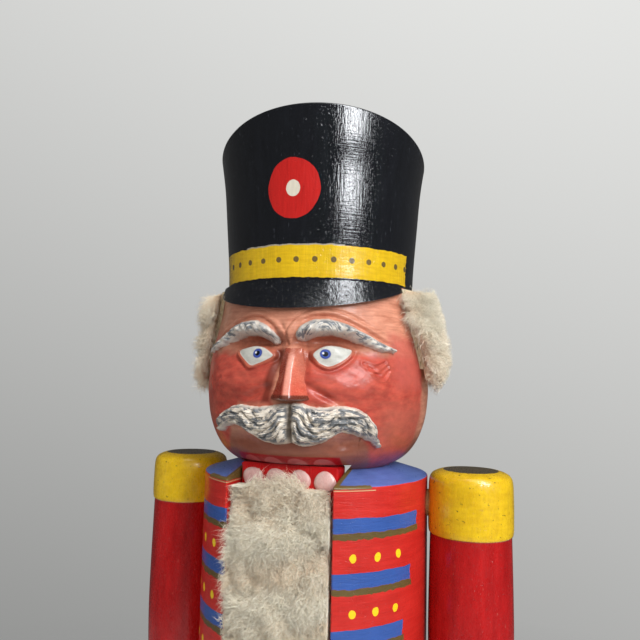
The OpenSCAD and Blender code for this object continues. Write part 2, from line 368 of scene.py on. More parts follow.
RED = srgb(192, 38, 31)
SLEEVE_RED = srgb(186, 24, 24)
BLUE = srgb(80, 108, 184)
DEEP_BLUE = srgb(58, 78, 152)
BRONZE = srgb(112, 92, 50)
YELLOW = srgb(246, 206, 30)
OLD_YELLOW = srgb(206, 158, 20)
BLACK = srgb(10, 11, 14)
SOFT_BLACK = srgb(26, 28, 33)
SKIN = srgb(186, 116, 90)
PALE_SKIN = srgb(222, 154, 126)
BLUSH = srgb(164, 53, 44)
HOT_RED = srgb(192, 90, 78)
HAIR_WHITE = srgb(236, 228, 214)
HAIR_GREY = srgb(52, 58, 68)
TOOTH = srgb(240, 214, 204)
CREAM = srgb(226, 216, 196)

ALONG_Z = (1.9, 1.9, 0.09)                 # brush strokes up and down
ROUND = (0.12, 0.12, 2.1)                  # brush strokes round the figure


def brushed(paint, colour, direction=ALONG_Z, gloss=0.26, coat=0.5, stroke=1.0, pits=0.35,
            metal=0.0, specular=0.5, crossing=0.0):
    """Enamel put on with a brush: ridges along the strokes, a little unevenness, small pits."""
    ridges = paint.noise(direction, detail=4, roughness=0.6)
    fine = paint.noise(tuple(3.1 * s for s in direction), detail=2, shift=7.3)
    swell = paint.noise((0.11, 0.11, 0.08), detail=2, shift=31)
    shade = paint.spread(ridges * 0.65 + swell * 0.35, 0.3, 0.7, 0.86, 1.1)
    coloured = paint.mix(1.0, colour, paint.combine(shade, shade, shade), "MULTIPLY")
    rough = paint.spread(fine * 0.6 + swell * 0.4, 0.3, 0.75, gloss - 0.07, gloss + 0.14)
    speckle = paint.spread(paint.noise((1.4, 1.4, 1.4), detail=1, shift=3.7), 0.66, 0.74, 0, pits)
    height = ridges * 0.7 + fine * 0.3 - speckle
    grain = paint.noise((0.9, 0.9, 0.035), detail=3, shift=55)
    height = height + grain * 0.5
    if crossing:
        height = height + paint.noise((0.16, 0.16, 1.9), detail=3, shift=83) * crossing
    normal = paint.bump(height, 0.12 * stroke)
    paint.shader.inputs["Specular IOR Level"].default_value = specular
    return paint.finish(coloured, rough, normal, coat=coat, coat_roughness=0.09, metal=metal)


def wobble(paint, size, shift=0.0, scale=0.16):
    """Slow hand-painted wander, in millimetres either way."""
    return (paint.noise((scale,) * 3, detail=2, shift=shift) - 0.5) * (2 * size)


# ---------------------------------------------------------------- materials
def coat_material():
    """The trunk's coat: red with blue bars over bronze shadows, yellow dots and a blue collar."""
    p = Paint("coat_paint_look")
    level = p.z - COLLAR
    side = abs(p.angle())
    wander = wobble(p, 0.45)
    down = -8.1 + wander - level           # below the first bar's top
    pitch = 14.3                           # from bar to bar
    row = p.math("FLOOR", down / pitch)
    step = down - row * pitch
    end = 75.5 - row * 5.6 + wobble(p, 1.2, 9.0, 0.5)    # of the bars, in degrees: shorter lower down
    across = p.least((end - side) * 0.61, TRUNK_R - 1.0 - abs(p.x))
    on_coat = p.least(row + 0.5, 6.5 - row)
    outer = p.radius() - (TRUNK_R - 0.6)
    slotted = abs(p.x) - (SLOT_HALF + 0.1)
    bar_depth = 3.9 + wobble(p, 0.5, 4.0, 0.3)
    bar = p.least(across, p.least(step, bar_depth - step), on_coat, outer, p.y_front())
    bronze_low = bar_depth + (1.7 + wobble(p, 0.6, 14.0, 0.4))
    shadow = p.least(across + 0.6, p.least(step - bar_depth, bronze_low - step), on_coat, outer,
                     p.y_front())
    gap = 12.2 - row * 0.8                 # degrees between the dots of a row
    place = (side - 36.3) / gap
    nearest = p.least(p.most(p.math("ROUND", place), 0.0), 2.0)
    du = (place - nearest) * gap * 0.611
    dz = (step - 10.4) * 0.86
    distance = p.math("SQRT", du * du + dz * dz)
    dot = p.least(1.02 + wobble(p, 0.3, 22.0, 0.5) - distance, on_coat, outer, p.y_front())

    collar = level + wobble(p, 0.12, 2.0)
    edge_strip = p.least(1.1 + wobble(p, 0.2, 27.0, 0.5) - slotted, collar, p.y_front())
    low_strip = p.least(0.42 + wobble(p, 0.2, 6.0, 0.5) - abs(level + 0.08), (45 - side) * 0.6,
                        p.y_front())
    bare = p.least(0.11 - abs(level + 0.9), (47 - side) * 0.6, p.y_front())
    hem_top = TRUNK_LOW[2] + 6.5
    hem = hem_top + wander - p.z
    hem_line = 0.8 - abs(p.z - (hem_top + 0.9 + wander))

    red = p.mix(p.spread(p.noise((0.1, 0.1, 0.6), detail=3), 0.35, 0.7), RED, srgb(206, 46, 38))
    red = p.mix(p.spread(slotted, -0.2, 0.0, 0.75, 0.0), red, srgb(214, 20, 22))
    # painted light: the upward-facing collar is painted a paler blue than the bars
    collar_blue = p.mix(p.noise((0.3, 0.3, 0.9)), srgb(106, 132, 198), srgb(78, 98, 168))
    colour = p.mix(p.inside(collar), red, collar_blue)
    colour = p.mix(p.inside(hem), colour, BLUE)
    colour = p.mix(p.inside(hem_line), colour, BRONZE)
    colour = p.mix(p.inside(shadow), colour, p.mix(p.noise((0.6, 0.6, 2)), BRONZE, srgb(84, 70, 40)))
    bar_blue = p.mix(p.noise((0.2, 0.2, 2.2)), srgb(60, 98, 174), srgb(50, 78, 142))
    colour = p.mix(p.inside(bar), colour, bar_blue)
    colour = p.mix(p.inside(dot), colour, YELLOW)
    colour = p.mix(p.inside(p.most(edge_strip, low_strip)), colour, BRONZE)
    colour = p.mix(p.inside(bare), colour, srgb(196, 176, 130))
    wear = p.spread(p.noise((1.3, 1.3, 1.3), detail=3, shift=17), 0.58, 0.66)
    rim = wear * p.spread(abs(slotted), 0.0, 0.55, 0.8, 0.0)
    colour = p.mix(rim * p.inside(outer, 0.6), colour, srgb(120, 26, 20))
    return brushed(p, colour, ROUND, gloss=0.32, coat=0.25, specular=0.35)


def hat_material():
    """Black lacquer with the yellow band, its row of dots, and the red and cream disc."""
    p = Paint("black_lacquer_look")
    level = p.z - COLLAR
    angle = p.angle()
    side = abs(angle - 2.0)
    up = level + wobble(p, 0.45, 1.0, 0.3)
    band = p.least(up - 57.4, 66.6 - up, (76.5 + wobble(p, 2.0, 5.0, 0.6) - side) * 0.53)
    pitch = 10.25                          # degrees between the dots on the band
    place = (angle - (0.4 + pitch / 2)) / pitch
    du = (place - p.math("ROUND", place)) * pitch * 0.53
    dz = level - 62.5
    spot = 0.84 + wobble(p, 0.15, 8.0, 0.7) - p.math("SQRT", du * du + dz * dz)
    spot = p.least(spot, band)
    cu = (angle - 3.6) * 0.555
    cz = level - 82.8
    from_centre = p.math("SQRT", cu * cu + cz * 0.92 * (cz * 0.92))
    disc = 8.0 + wobble(p, 0.35, 3.0, 0.2) - from_centre
    eye = 2.15 + wobble(p, 0.2, 12.0, 0.4) - from_centre
    outside = p.radius() - 26
    disc, eye = p.least(disc, p.y_front()), p.least(eye, p.y_front())
    specks = p.spread(p.noise((2.6, 2.6, 0.35), detail=2, shift=40), 0.68, 0.75)
    colour = p.mix(specks * 0.4, p.mix(p.noise((0.5, 0.5, 0.05)), BLACK, SOFT_BLACK), srgb(96, 100, 108))
    scratched = p.spread(p.noise((1.6, 1.6, 0.12), detail=3, shift=61), 0.6, 0.72, 0, 0.35)
    colour = p.mix(p.inside(disc), colour, p.mix(scratched, srgb(196, 34, 30), srgb(120, 16, 16)))
    colour = p.mix(p.inside(eye), colour, CREAM)
    gold = p.mix(p.noise((0.25, 0.25, 1.6), detail=3), YELLOW, OLD_YELLOW)
    pale_edge = 0.25 - abs(up - 66.7)
    colour = p.mix(p.inside(p.least(pale_edge, (30 - side) * 0.5)) * 0.5, colour, CREAM)
    colour = p.mix(p.inside(p.least(band, outside)), colour, gold)
    colour = p.mix(p.inside(p.least(spot, outside)), colour, BRONZE)
    p.shader.inputs["Coat IOR"].default_value = 1.75
    return brushed(p, colour, (1.5, 1.5, 0.07), gloss=0.16, coat=1.0, stroke=0.75, specular=0.3,
                   crossing=0.25)


def lacquer_material():
    """Plain black lacquer for the peak and the toes of the boots."""
    p = Paint("peak_and_boot_look")
    colour = p.mix(p.noise((0.6, 0.6, 0.6)), BLACK, SOFT_BLACK)
    return brushed(p, colour, (0.7, 0.7, 0.9), gloss=0.18, coat=1.0, stroke=1.8, pits=0.8)


def arm_material(side):
    """Red sleeve with chipped yellow cap and cuff."""
    p = Paint("sleeve_look")
    level = p.z - COLLAR + wobble(p, 0.25, 2.0, 0.2)
    centre_x = side * ARM_X
    radius = p.radius(centre_x, ARM_Y)
    cap = level - (CAP_END[side] - 0.1)
    cuff = CUFF - COLLAR + 11.3 - level
    top = p.least(8.2 + wobble(p, 0.35, 9.0, 0.5) - radius, level - 1.2)
    chips = p.spread(p.noise((0.75, 0.75, 0.9), detail=4, shift=13), 0.66, 0.69)
    yellow = p.mix(p.noise((0.3, 0.3, 0.9), detail=3), YELLOW, OLD_YELLOW)
    yellow = p.mix(chips * 0.85, yellow, srgb(70, 48, 20))
    scuffs = p.spread(p.noise((1.4, 1.4, 0.5), detail=4, shift=44), 0.69, 0.74, 0, 0.6)
    red = p.mix(p.spread(p.noise((0.3, 0.3, 0.06)), 0.3, 0.7), SLEEVE_RED, srgb(158, 12, 14))
    red = p.mix(scuffs, red, srgb(214, 110, 96))
    colour = p.mix(p.inside(p.most(cap, cuff)), red, yellow)
    colour = p.mix(p.inside(top), colour, srgb(92, 80, 56))
    return brushed(p, colour, (0.9, 0.9, 0.3), gloss=0.26, coat=0.5, stroke=0.9)


def leg_material(side):
    """Blue trousers with a yellow stripe, and a black boot."""
    p = Paint("leg_look")
    boot_top = LEG_LOW[2] + 44
    boot = boot_top + wobble(p, 0.2) - p.z
    edge = 0.9 - abs(p.z - (boot_top - 1.6))
    stripe = 1.6 - abs(p.y - (LEG_LOW[1] + 15.6) + wobble(p, 0.25))
    stripe = p.least(stripe, (p.x - side * LEG_X) * side)
    blue = p.mix(p.noise((0.3, 0.3, 0.07), detail=3), BLUE, DEEP_BLUE)
    colour = p.mix(p.inside(stripe), blue, YELLOW)
    colour = p.mix(p.inside(boot), colour, p.mix(p.noise((0.5, 0.5, 0.05)), BLACK, SOFT_BLACK))
    colour = p.mix(p.inside(edge), colour, BRONZE)
    return brushed(p, colour, ALONG_Z, gloss=0.26, coat=0.5)


def red_material():
    """The lever's red, rubbed through on the handle."""
    p = Paint("lever_look")
    streak = p.spread(p.noise((0.1, 0.1, 0.4), detail=3), 0.3, 0.7)
    red = p.mix(streak, srgb(206, 22, 24), srgb(178, 12, 16))
    rub = p.spread(p.noise((0.4, 0.4, 0.2), detail=4, shift=5), 0.6, 0.68)
    worn = rub * p.spread(p.z, SLOT_FLOOR, SLOT_FLOOR - 40, 0.0, 0.8)
    worn = worn * p.spread(p.y, 44, 50, 0.2, 1.0)
    colour = p.mix(worn, red, srgb(150, 88, 50))
    return brushed(p, colour, ALONG_Z, gloss=0.28, coat=0.4)


def tooth_material():
    """Off-white teeth, a little pink."""
    p = Paint("tooth_look")
    colour = p.mix(p.noise((0.5, 0.5, 0.4), detail=3), TOOTH, srgb(214, 150, 144))
    return brushed(p, colour, (0.8, 0.8, 0.5), gloss=0.24, coat=0.5, stroke=0.7)


def wood_material(name, light, dark, gloss, ring=0.55):
    """Straight-grained limewood or beech with flecks, under varnish or bare."""
    p = Paint(name)
    bend = p.noise((0.03, 0.03, 0.03), detail=2)
    rings = p.math("SINE", p.y * ring + (p.z * 0.08 + bend * 26))
    fibre = p.noise((0.05, 1.6, 1.6), detail=5, roughness=0.65)
    fleck = p.spread(p.noise((0.2, 2.4, 2.4), detail=2, shift=21), 0.62, 0.7)
    tone = (rings * 0.5 + 0.5) * 0.55 + fibre * 0.45
    colour = p.mix(tone, light, dark)
    colour = p.mix(fleck * 0.35, colour, tuple(0.55 * c for c in dark))
    normal = p.bump(fibre + fleck * -0.4, 0.1)
    return p.finish(colour, p.spread(fibre, 0.3, 0.7, gloss - 0.06, gloss + 0.1), normal,
                    coat=0.35 if gloss < 0.5 else 0.0)


def steel_material():
    """Bright turned steel."""
    p = Paint("screw_look")
    turning = p.noise((3, 3, 14), detail=2)
    metal = p.mix(turning, (0.5, 0.5, 0.52), (0.62, 0.62, 0.63))
    return p.finish(metal, p.spread(turning, 0.3, 0.7, 0.3, 0.45), p.bump(turning, 0.02), metal=1.0)


def hide_material():
    """The skin side and the cut edge of the sheepskin."""
    p = Paint("hide_look")
    mottled = p.noise((0.6, 0.6, 0.6), detail=4)
    pores = p.noise((4, 4, 4), detail=2, shift=8)
    stain = p.spread(p.noise((0.9, 0.9, 0.35), detail=3, shift=19), 0.58, 0.68, 0, 0.75)
    colour = p.mix(p.spread(mottled, 0.3, 0.7), srgb(238, 226, 194), srgb(206, 184, 140))
    colour = p.mix(stain, colour, srgb(112, 88, 56))
    return p.finish(colour, p.spread(pores, 0.3, 0.7, 0.7, 0.95), p.bump(pores, 0.15), sheen=0.1)


# ---------------------------------------------------------------- the carved head
FACE_R = 33.0                              # radius at which the face's flat coordinates are true
U_OF_DEG = FACE_R * math.pi / 180          # millimetres across the face per degree


def stroke(u, v, spine, count=48):
    """Signed depth inside a brush-shaped band, the distance along its spine and the one across it.

    The spine's rows are (across, height, half width); the depth is positive inside the band."""
    line = smooth_curve(spine, count)
    travel = np.concatenate([[0], np.cumsum(np.hypot(*np.diff(line[:, :2], axis=0).T))])
    best = np.full(u.shape, -1e9)
    along = np.zeros(u.shape)
    cross = np.zeros(u.shape)
    for i in range(len(line) - 1):
        a, b = line[i], line[i + 1]
        d = b[:2] - a[:2]
        t = np.clip(((u - a[0]) * d[0] + (v - a[1]) * d[1]) / d.dot(d), 0, 1)
        off_u, off_v = u - a[0] - t * d[0], v - a[1] - t * d[1]
        depth = a[2] + (b[2] - a[2]) * t - np.hypot(off_u, off_v)
        deeper = depth > best
        best = np.where(deeper, depth, best)
        along = np.where(deeper, travel[i] + t * (travel[i + 1] - travel[i]), along)
        cross = np.where(deeper, off_v * d[0] / np.hypot(*d) - off_u * d[1] / np.hypot(*d), cross)
    return best, along, cross


def step_up(x, width):
    """Rises smoothly from 0 to 1 as x passes 0, over the given width."""
    t = np.clip(x / width + 0.5, 0, 1)
    return t * t * (3 - 2 * t)


def dome(depth, width):
    """0 outside, rising to 1 like a rounded edge over the given width inside."""
    t = np.clip(depth / width, 0, 1)
    return np.sqrt(1 - (1 - t) ** 2)


def bell(u, v, cu, cv, ru, rv, tilt=0.0):
    """A soft bump: 1 at (cu, cv), falling off over the radii ru and rv."""
    c, s = math.cos(tilt), math.sin(tilt)
    du, dv = u - cu, v - cv
    a, b = (du * c + dv * s) / ru, (-du * s + dv * c) / rv
    return np.exp(-(a * a + b * b))


def ripple(x, y, seed):
    """Cheap smooth noise between -1 and 1 from a few fixed waves."""
    rng = np.random.default_rng(seed)
    total = np.zeros(np.shape(x))
    for k in range(6):
        fx, fy = rng.normal(size=2) * (0.5 + 0.35 * k)
        total = total + np.sin(fx * x + fy * y + rng.uniform(0, 6.28)) / (1 + 0.5 * k)
    return total / 3.0


# The brows' and the moustache's spines, by side: across the face, height, half width
BROWS = {
    1: [(3.6, 40.7, 1.6), (5.2, 41.8, 2.2), (8.0, 42.8, 2.4), (11.8, 43.0, 2.2),
        (16.6, 42.0, 1.85), (21.5, 40.1, 1.6), (26.0, 38.2, 1.4), (30.6, 37.2, 0.6)],
    -1: [(-5.0, 39.5, 1.5), (-7.2, 41.2, 2.15), (-10.4, 42.7, 2.3), (-13.5, 42.8, 2.1),
         (-16.5, 42.4, 1.9), (-20.5, 40.9, 1.6), (-26.0, 38.6, 1.2), (-31.5, 36.4, 0.4)],
}
MOUSTACHE = {
    1: [(3.6, 16.6, 5.6), (6.4, 15.9, 5.5), (10.2, 16.7, 4.5), (14.5, 18.0, 3.6), (18.8, 17.3, 3.3),
        (22.6, 15.0, 2.3), (25.4, 12.4, 1.1), (27.3, 10.2, 0.25)],
    -1: [(0.0, 16.6, 5.5), (-3.6, 15.9, 5.2), (-8.0, 16.8, 4.3), (-12.5, 18.1, 3.3), (-16.5, 17.9, 2.3),
         (-20.4, 16.0, 1.5), (-23.8, 13.2, 0.25)],
}
PARTING_U = 1.8                            # of the moustache, across the face
# The eyes' outlines, by side: across the face, height
EYES = {
    1: [(7.2, 35.4), (8.6, 36.9), (11.0, 37.9), (13.6, 37.9), (16.0, 37.4), (18.0, 36.7),
        (16.2, 34.6), (13.7, 33.0), (11.4, 32.2), (9.3, 32.9), (8.0, 34.1)],
    -1: [(-16.4, 36.2), (-13.8, 37.2), (-10.8, 37.7), (-7.8, 37.2), (-5.6, 36.2),
         (-4.3, 35.0), (-6.2, 33.7), (-8.4, 32.8), (-10.8, 32.2), (-13.2, 33.6)],
}
EYE_U = {1: 11.9, -1: -10.0}
IRIS_U = {1: 10.5, -1: -9.0}
IRIS_V = 35.6
# The carver's short cuts outside each eye
CROW_CUTS = [[(21.2, 33.2, 0.3), (24.2, 32.2, 0.5), (27.4, 33.5, 0.2)],
             [(22.4, 31.8, 0.3), (25.2, 30.8, 0.5), (28.0, 32.6, 0.2)],
             [(23.8, 30.3, 0.3), (26.2, 29.6, 0.5), (28.4, 31.4, 0.2)]]


def outline_depth(u, v, outline, count=72):
    """Signed distance inside a closed smooth outline, positive inside it."""
    p = np.array(outline)
    n = len(p)
    t = np.linspace(0, n, count, endpoint=False)
    i = t.astype(int)
    ring = catmull_rom(p[(i - 1) % n], p[i], p[(i + 1) % n], p[(i + 2) % n], (t - i)[:, None])
    away = np.full(u.shape, 1e9)
    inside = np.zeros(u.shape, bool)
    for a, b in zip(ring, np.roll(ring, -1, 0)):
        d = b - a
        t = np.clip(((u - a[0]) * d[0] + (v - a[1]) * d[1]) / (d.dot(d) + 1e-12), 0, 1)
        away = np.minimum(away, np.hypot(u - a[0] - t * d[0], v - a[1] - t * d[1]))
        crosses = (a[1] > v) != (b[1] > v)
        inside ^= crosses & (u < a[0] + (v - a[1]) * d[0] / (d[1] if abs(d[1]) > 1e-9 else 1e-9))
    return np.where(inside, away, -away)


def rim(depth, out, width):
    """1 on the line that runs out millimetres outside an edge, fading over the width."""
    return np.exp(-((depth + out) / width) ** 2)


def nearer(new, old):
    """The new values where their first one, the depth, is the greater, and the old ones elsewhere."""
    return [np.where(new[0] > old[0], a, b) for a, b in zip(new, old)]


def head_relief(u, v):
    """Carving depth over the turned block, and the painted masks, in face coordinates."""
    relief = np.zeros(u.shape)
    masks = {}
    face = step_up(33 - np.abs(u), 8) * step_up(46.5 - v, 3) * step_up(v - 5, 6)

    # sockets under the brows, cheeks, and the hollow between brow and nose
    for side in (1, -1):
        cu = EYE_U[side]
        relief -= 4.2 * bell(u, v, cu, 39.0, 9.5, 2.1)
        relief -= 2.2 * bell(u, v, cu - 1.0 * side, 35.0, 8.5, 3.6)
        relief -= (1.5 if side > 0 else 0.9) * bell(u, v, 1.2 + 3.6 * side, 34.0, 1.5, 5.5)
        relief -= 1.0 * bell(u, v, 21.5 * side, 36.2, 5.0, 1.9, -0.3 * side)
        relief += 1.2 * bell(u, v, 14.0 * side, 27.6, 9.5, 4.6)
        relief -= 1.2 * bell(u, v, 1.0 + 8.8 * side, 24.6, 5.0, 1.0, -0.5 * side)
        relief += 0.6 * bell(u, v, 1.0 + 9.5 * side, 22.4, 4.0, 1.2, -0.25 * side)
        relief += 0.8 * bell(u, v, 24.0 * side, 28.5, 5.0, 6.0)
    # eyes: a low almond with a thin lid round it
    eye = np.maximum(outline_depth(u, v, EYES[1]), outline_depth(u, v, EYES[-1]))
    ball = np.zeros(u.shape)
    for side in (1, -1):
        ball = np.maximum(ball, 1 - ((u - EYE_U[side]) / 9.0) ** 2 - ((v - 35.0) / 4.9) ** 2)
    on_eye = step_up(eye + 0.2, 0.9)
    relief = relief * (1 - on_eye) + on_eye * (1.5 * np.clip(ball, 0, 1) ** 0.8 - 1.9)
    lower = step_up(36.3 - v, 1.0)
    relief += (0.35 + 0.35 * lower) * rim(eye, 0.5, 0.4)
    relief -= 0.5 * lower * rim(eye, 1.5, 0.45)
    lid_fold = step_up(v - 37.4, 1.4) * step_up(-eye, 0.8) * step_up(8.5 - np.abs(np.abs(u) - 12), 3)
    relief -= 0.9 * lid_fold * step_up(41.5 - v, 2)
    # the carver's cuts outside the eyes
    for side, lift, deep, cuts in ((1, 0.0, 0.5, CROW_CUTS), (-1, -4.6, 0.2, CROW_CUTS[:2])):
        for cut in cuts:
            d, _, _ = stroke(u, v, [(side * a, b + lift, c) for a, b, c in cut], 14)
            relief -= deep * step_up(d + 0.15, 0.7)
            relief += 0.4 * deep * rim(d, 0.7, 0.35)
    # brows
    brow, brow_t, brow_n = np.full(u.shape, -9.0), np.zeros(u.shape), np.zeros(u.shape)
    for side in (1, -1):
        d, t, n = stroke(u, v, BROWS[side])
        brow, brow_t, brow_n = nearer((d, t, n * side), (brow, brow_t, brow_n))
        above = (n * side > 0).astype(float)
        relief -= 0.75 * above * rim(d, 0.9, 0.5) * step_up(31 - np.abs(u), 5) * step_up(np.abs(u) - 4, 4)
        relief += (0.3 if side > 0 else 0.12) * above * rim(d, 2.0, 0.6) * step_up(28 - np.abs(u), 6)
        relief -= (0.4 if side > 0 else 0.12) * above * rim(d, 3.0, 0.35) * step_up(25 - np.abs(u), 6)
    brow = brow + 0.14 * ripple(u * 1.6, v * 1.6, 8)
    brow_cut = np.sin(brow_t * 2.7 - brow_n * 1.7 + 2.0 * ripple(u * 0.8, v * 0.8, 4))
    relief += dome(brow, 1.5) * (2.3 + 0.16 * brow_cut + 0.12 * ripple(u * 2, v * 2, 9))
    # the frown between the brows
    relief += 0.9 * bell(u, v, 0.0, 40.0, 1.9, 2.8)
    relief -= 0.3 * bell(u, v, -1.8, 43.0, 0.6, 2.4, 0.5)
    relief -= 0.3 * bell(u, v, 2.4, 43.4, 0.6, 2.0, -0.4)
    # moustache
    tash, tash_t, tash_n = np.full(u.shape, -9.0), np.zeros(u.shape), np.zeros(u.shape)
    for side in (1, -1):
        d, t, n = stroke(u, v, MOUSTACHE[side])
        d = np.minimum(d, (u - PARTING_U) * side + 0.1)
        tash, tash_t, tash_n = nearer((d, t, n * side), (tash, tash_t, tash_n))
    tash = tash + 0.3 * ripple(u * 1.1, v * 1.1, 6)
    comb = tash_n - 5.0 * np.exp(-(tash_t + 1.0) / 4.5)
    wave = comb * 1.55 + 0.8 * np.sin(tash_t * 0.4) + 3.0 * ripple(u * 0.36, v * 0.36, 3)
    strand = np.abs(np.sin(wave)) ** 0.7
    fine = np.abs(np.sin(comb * 5.0 + 2.2 * ripple(u * 0.3, v * 0.3, 17)))
    uneven = 0.75 + 0.6 * ripple(u * 0.55, v * 0.55, 14)
    bulk = dome(tash, 2.6)
    carved = 2.3 + 1.6 * strand * uneven + 0.45 * fine + 0.3 * ripple(u * 0.8, v * 0.8, 12)
    relief = relief * (1 - 0.9 * bulk) + bulk * carved
    relief += 0.9 * bulk * bell(u, v, PARTING_U, 16.5, 7.5, 5.5)
    relief -= 1.0 * np.exp(-((u - PARTING_U) / 0.75) ** 2) * step_up(22.0 - v, 3) * step_up(v - 11.5, 2)
    # hollow under the moustache, the lip and the chin's cut
    relief -= 1.9 * bell(u, v, 17.5, 11.4, 7.0, 2.4, 0.22) * (1 - bulk)
    relief -= 1.6 * bell(u, v, -15.0, 11.4, 6.5, 2.6, -0.15) * (1 - bulk)
    relief += 0.6 * bell(u, v, 1.5, 8.4, 9, 1.5)
    # knife facets
    relief += 0.2 * ripple(u * 0.42, v * 0.5, 21) * face * (1 - bulk)
    relief += 0.07 * ripple(u * 1.6, v * 1.5, 33) * face
    masks["eye_white"] = eye
    masks["iris"] = np.minimum(*(np.hypot((u - c) * 0.9, v - IRIS_V) for c in IRIS_U.values()))
    masks["glint"] = np.minimum(*(np.hypot(u - c + 0.6, v - IRIS_V - 0.2) for c in IRIS_U.values()))
    masks["hair_band"] = np.maximum(brow, tash)
    masks["hair_along"] = np.where(brow > tash, brow_t * 1.6 + 40, tash_t)
    brow_comb = brow_n * 1.5 - brow_t * 0.9 * step_up(9 - brow_t, 6)
    masks["hair_across"] = np.where(brow > tash, brow_comb, comb)
    masks["hair_kind"] = (brow > tash).astype(float)
    masks["hair_over"] = np.where(brow > tash, brow_n, 0.0)
    masks["groove"] = np.where(brow > tash, 0.5 - 0.5 * brow_cut, 1 - strand)
    return relief * np.where(np.abs(u) < 40, 1, 0), masks


def face_material():
    """The painted face: skin with painted shade, blush, glaze and painted shade in the hollows, a painted
    shadow beside the nose, eyes, brows, moustache and lip.
    """
    p = Paint("carved_face_look")
    u, v = p.attribute("face_u"), p.attribute("face_v")
    wander = wobble(p, 1.6, 3.0, 0.22)
    fine = p.noise((0.8, 0.8, 0.8), detail=4, roughness=0.65)
    streak = p.noise((0.16, 0.16, 1.1), detail=4, roughness=0.6, shift=6)
    skin = p.mix(p.spread(streak, 0.3, 0.7), SKIN, PALE_SKIN)
    # painted shade: the skin turns darker and browner towards the figure's right, the side away from the
    # window light
    skin = p.mix(p.spread(u, -30, -6, 0.6, 0.0), skin, srgb(150, 104, 84))
    # painted shade: the skin below the moustache is painted darker, where the moustache's shadow falls
    low = p.inside(12.5 - (v + wander), 4.0)
    skin = p.mix(low * 0.9, skin, srgb(136, 76, 58))
    brown = p.mix(p.spread(fine, 0.4, 0.6), srgb(182, 104, 78), srgb(150, 78, 58))

    # blush from the cheekbones down to the jaw, hotter beside the eyes
    side = abs(u - 0.5)
    under_eye = 36.4 + side * -0.02 - (v + wander)
    over_tash = v - (21.5 - p.most(side - 15.0, 0.0) * 1.3)
    beside_nose = side - 4.0
    outer = 44.0 - (side + wander)
    cheek = p.least(under_eye, over_tash + wander, beside_nose, outer)
    cheek_amount = p.inside(cheek, 2.2) * p.spread(streak, 0.25, 0.75, 0.72, 1.0)
    ragged = wobble(p, 2.2, 41.0, 0.35)
    temple = p.least(side - 30.0 + ragged, 41.5 - (v + ragged), v - (27.0 + ragged), 45.0 - side)
    red = p.mix(p.spread(p.noise((0.25, 0.25, 0.5), detail=4), 0.36, 0.66), BLUSH, srgb(202, 76, 60))
    colour = p.mix(cheek_amount, skin, red)
    colour = p.mix(p.inside(temple, 4.0) * 0.8, colour, HOT_RED)
    jaw = p.inside(p.least(side - 26, v - 8.0, 22.0 - v), 5.0) * 0.55
    colour = p.mix(jaw, colour, srgb(178, 96, 78))

    # painted shade in the sockets and under the brows, deeper where the carving is deeper; partly also
    # the brown of an antiquing glaze left there
    carved = p.attribute("hollow")
    colour = p.mix(p.spread(carved, 0.7, 2.6, 0.0, 0.55), colour, brown)
    # painted shadow: a dark brown band on the figure's right of the nose, where the nose's shadow falls
    beside = p.least(-1.2 - (36.0 - v) * 0.2 - u, u + 4.1 + (36.0 - v) * 0.16, 37.0 - v, v - 22.0)
    colour = p.mix(p.inside(beside, 1.2) * 0.85, colour, srgb(104, 40, 28))
    blue_jaw = p.inside(7.0 - (v + wander), 3.0) * p.spread(side, 24, 34, 0.0, 0.2)
    colour = p.mix(blue_jaw, colour, srgb(108, 92, 140))

    colour = p.mix(p.attribute("behind"), colour, skin)

    # eyes
    white = p.mix(p.noise((0.5, 0.5, 1.5), detail=3), srgb(214, 212, 202), srgb(178, 176, 166))
    rim = 0.34 - abs(p.attribute("eye_white") + 0.34)
    colour = p.mix(p.inside(rim, 0.3) * 0.7, colour, srgb(168, 92, 68))
    colour = p.mix(p.inside(p.attribute("eye_white"), 0.16), colour, white)
    iris = p.attribute("iris")
    on_eye = p.inside(p.attribute("eye_white"), 0.2)
    colour = p.mix(on_eye * p.inside(1.36 - iris, 0.3), colour, srgb(40, 56, 136))
    colour = p.mix(on_eye * p.inside(1.0 - iris, 0.4), colour, srgb(74, 98, 176))
    colour = p.mix(on_eye * p.inside(0.74 - iris, 0.2), colour, srgb(8, 9, 18))
    colour = p.mix(on_eye * p.inside(0.3 - p.attribute("glint"), 0.25), colour, srgb(240, 240, 240))

    # brows and moustache: off-white with dragged grey strokes
    across, along = p.attribute("hair_across"), p.attribute("hair_along")
    stroke_place = p.combine(along * 0.24, across * 1.05, p.attribute("hair_kind"))
    drag = p.noise((1, 1, 1), detail=4, roughness=0.62, distortion=1.1, at=stroke_place)
    patch = p.noise((0.42, 0.42, 0.42), detail=2, shift=12)
    dark = drag + (patch - 0.5) * 0.7
    kind = p.attribute("hair_kind")
    dark = dark + (p.attribute("groove") - 0.45) * p.spread(kind, 0, 1, 0.07, 0.03)
    dark = dark + kind * p.spread(p.attribute("hair_over"), -1.2, 1.4, -0.15, 0.06)
    grey = p.inside(dark - p.spread(kind, 0, 1, 0.482, 0.5), 0.09)
    hair_edge = p.inside(0.6 - p.attribute("hair_band"), 0.7)
    grey = grey * (1.0 - hair_edge * 0.8)
    off_white = p.mix(p.noise((0.7,) * 3, detail=3), HAIR_WHITE, srgb(208, 192, 172))
    off_white = p.mix(kind * p.spread(drag, 0.4, 0.6, 0.15, 0.5), off_white, srgb(150, 156, 164))
    hair = p.mix(grey * 0.84, off_white, p.mix(drag, HAIR_GREY, srgb(104, 114, 124)))
    band = p.attribute("hair_band") + wobble(p, 0.3, 18.0, 0.6)
    # painted shade: a brown line along the moustache's parting crease
    parting = p.inside(0.55 - abs(u - PARTING_U), 0.7) * p.inside(22.6 - v, 1.0)
    hair = p.mix(parting * 0.55, hair, srgb(112, 92, 76))
    colour = p.mix(p.inside(band, 0.2), colour, hair)

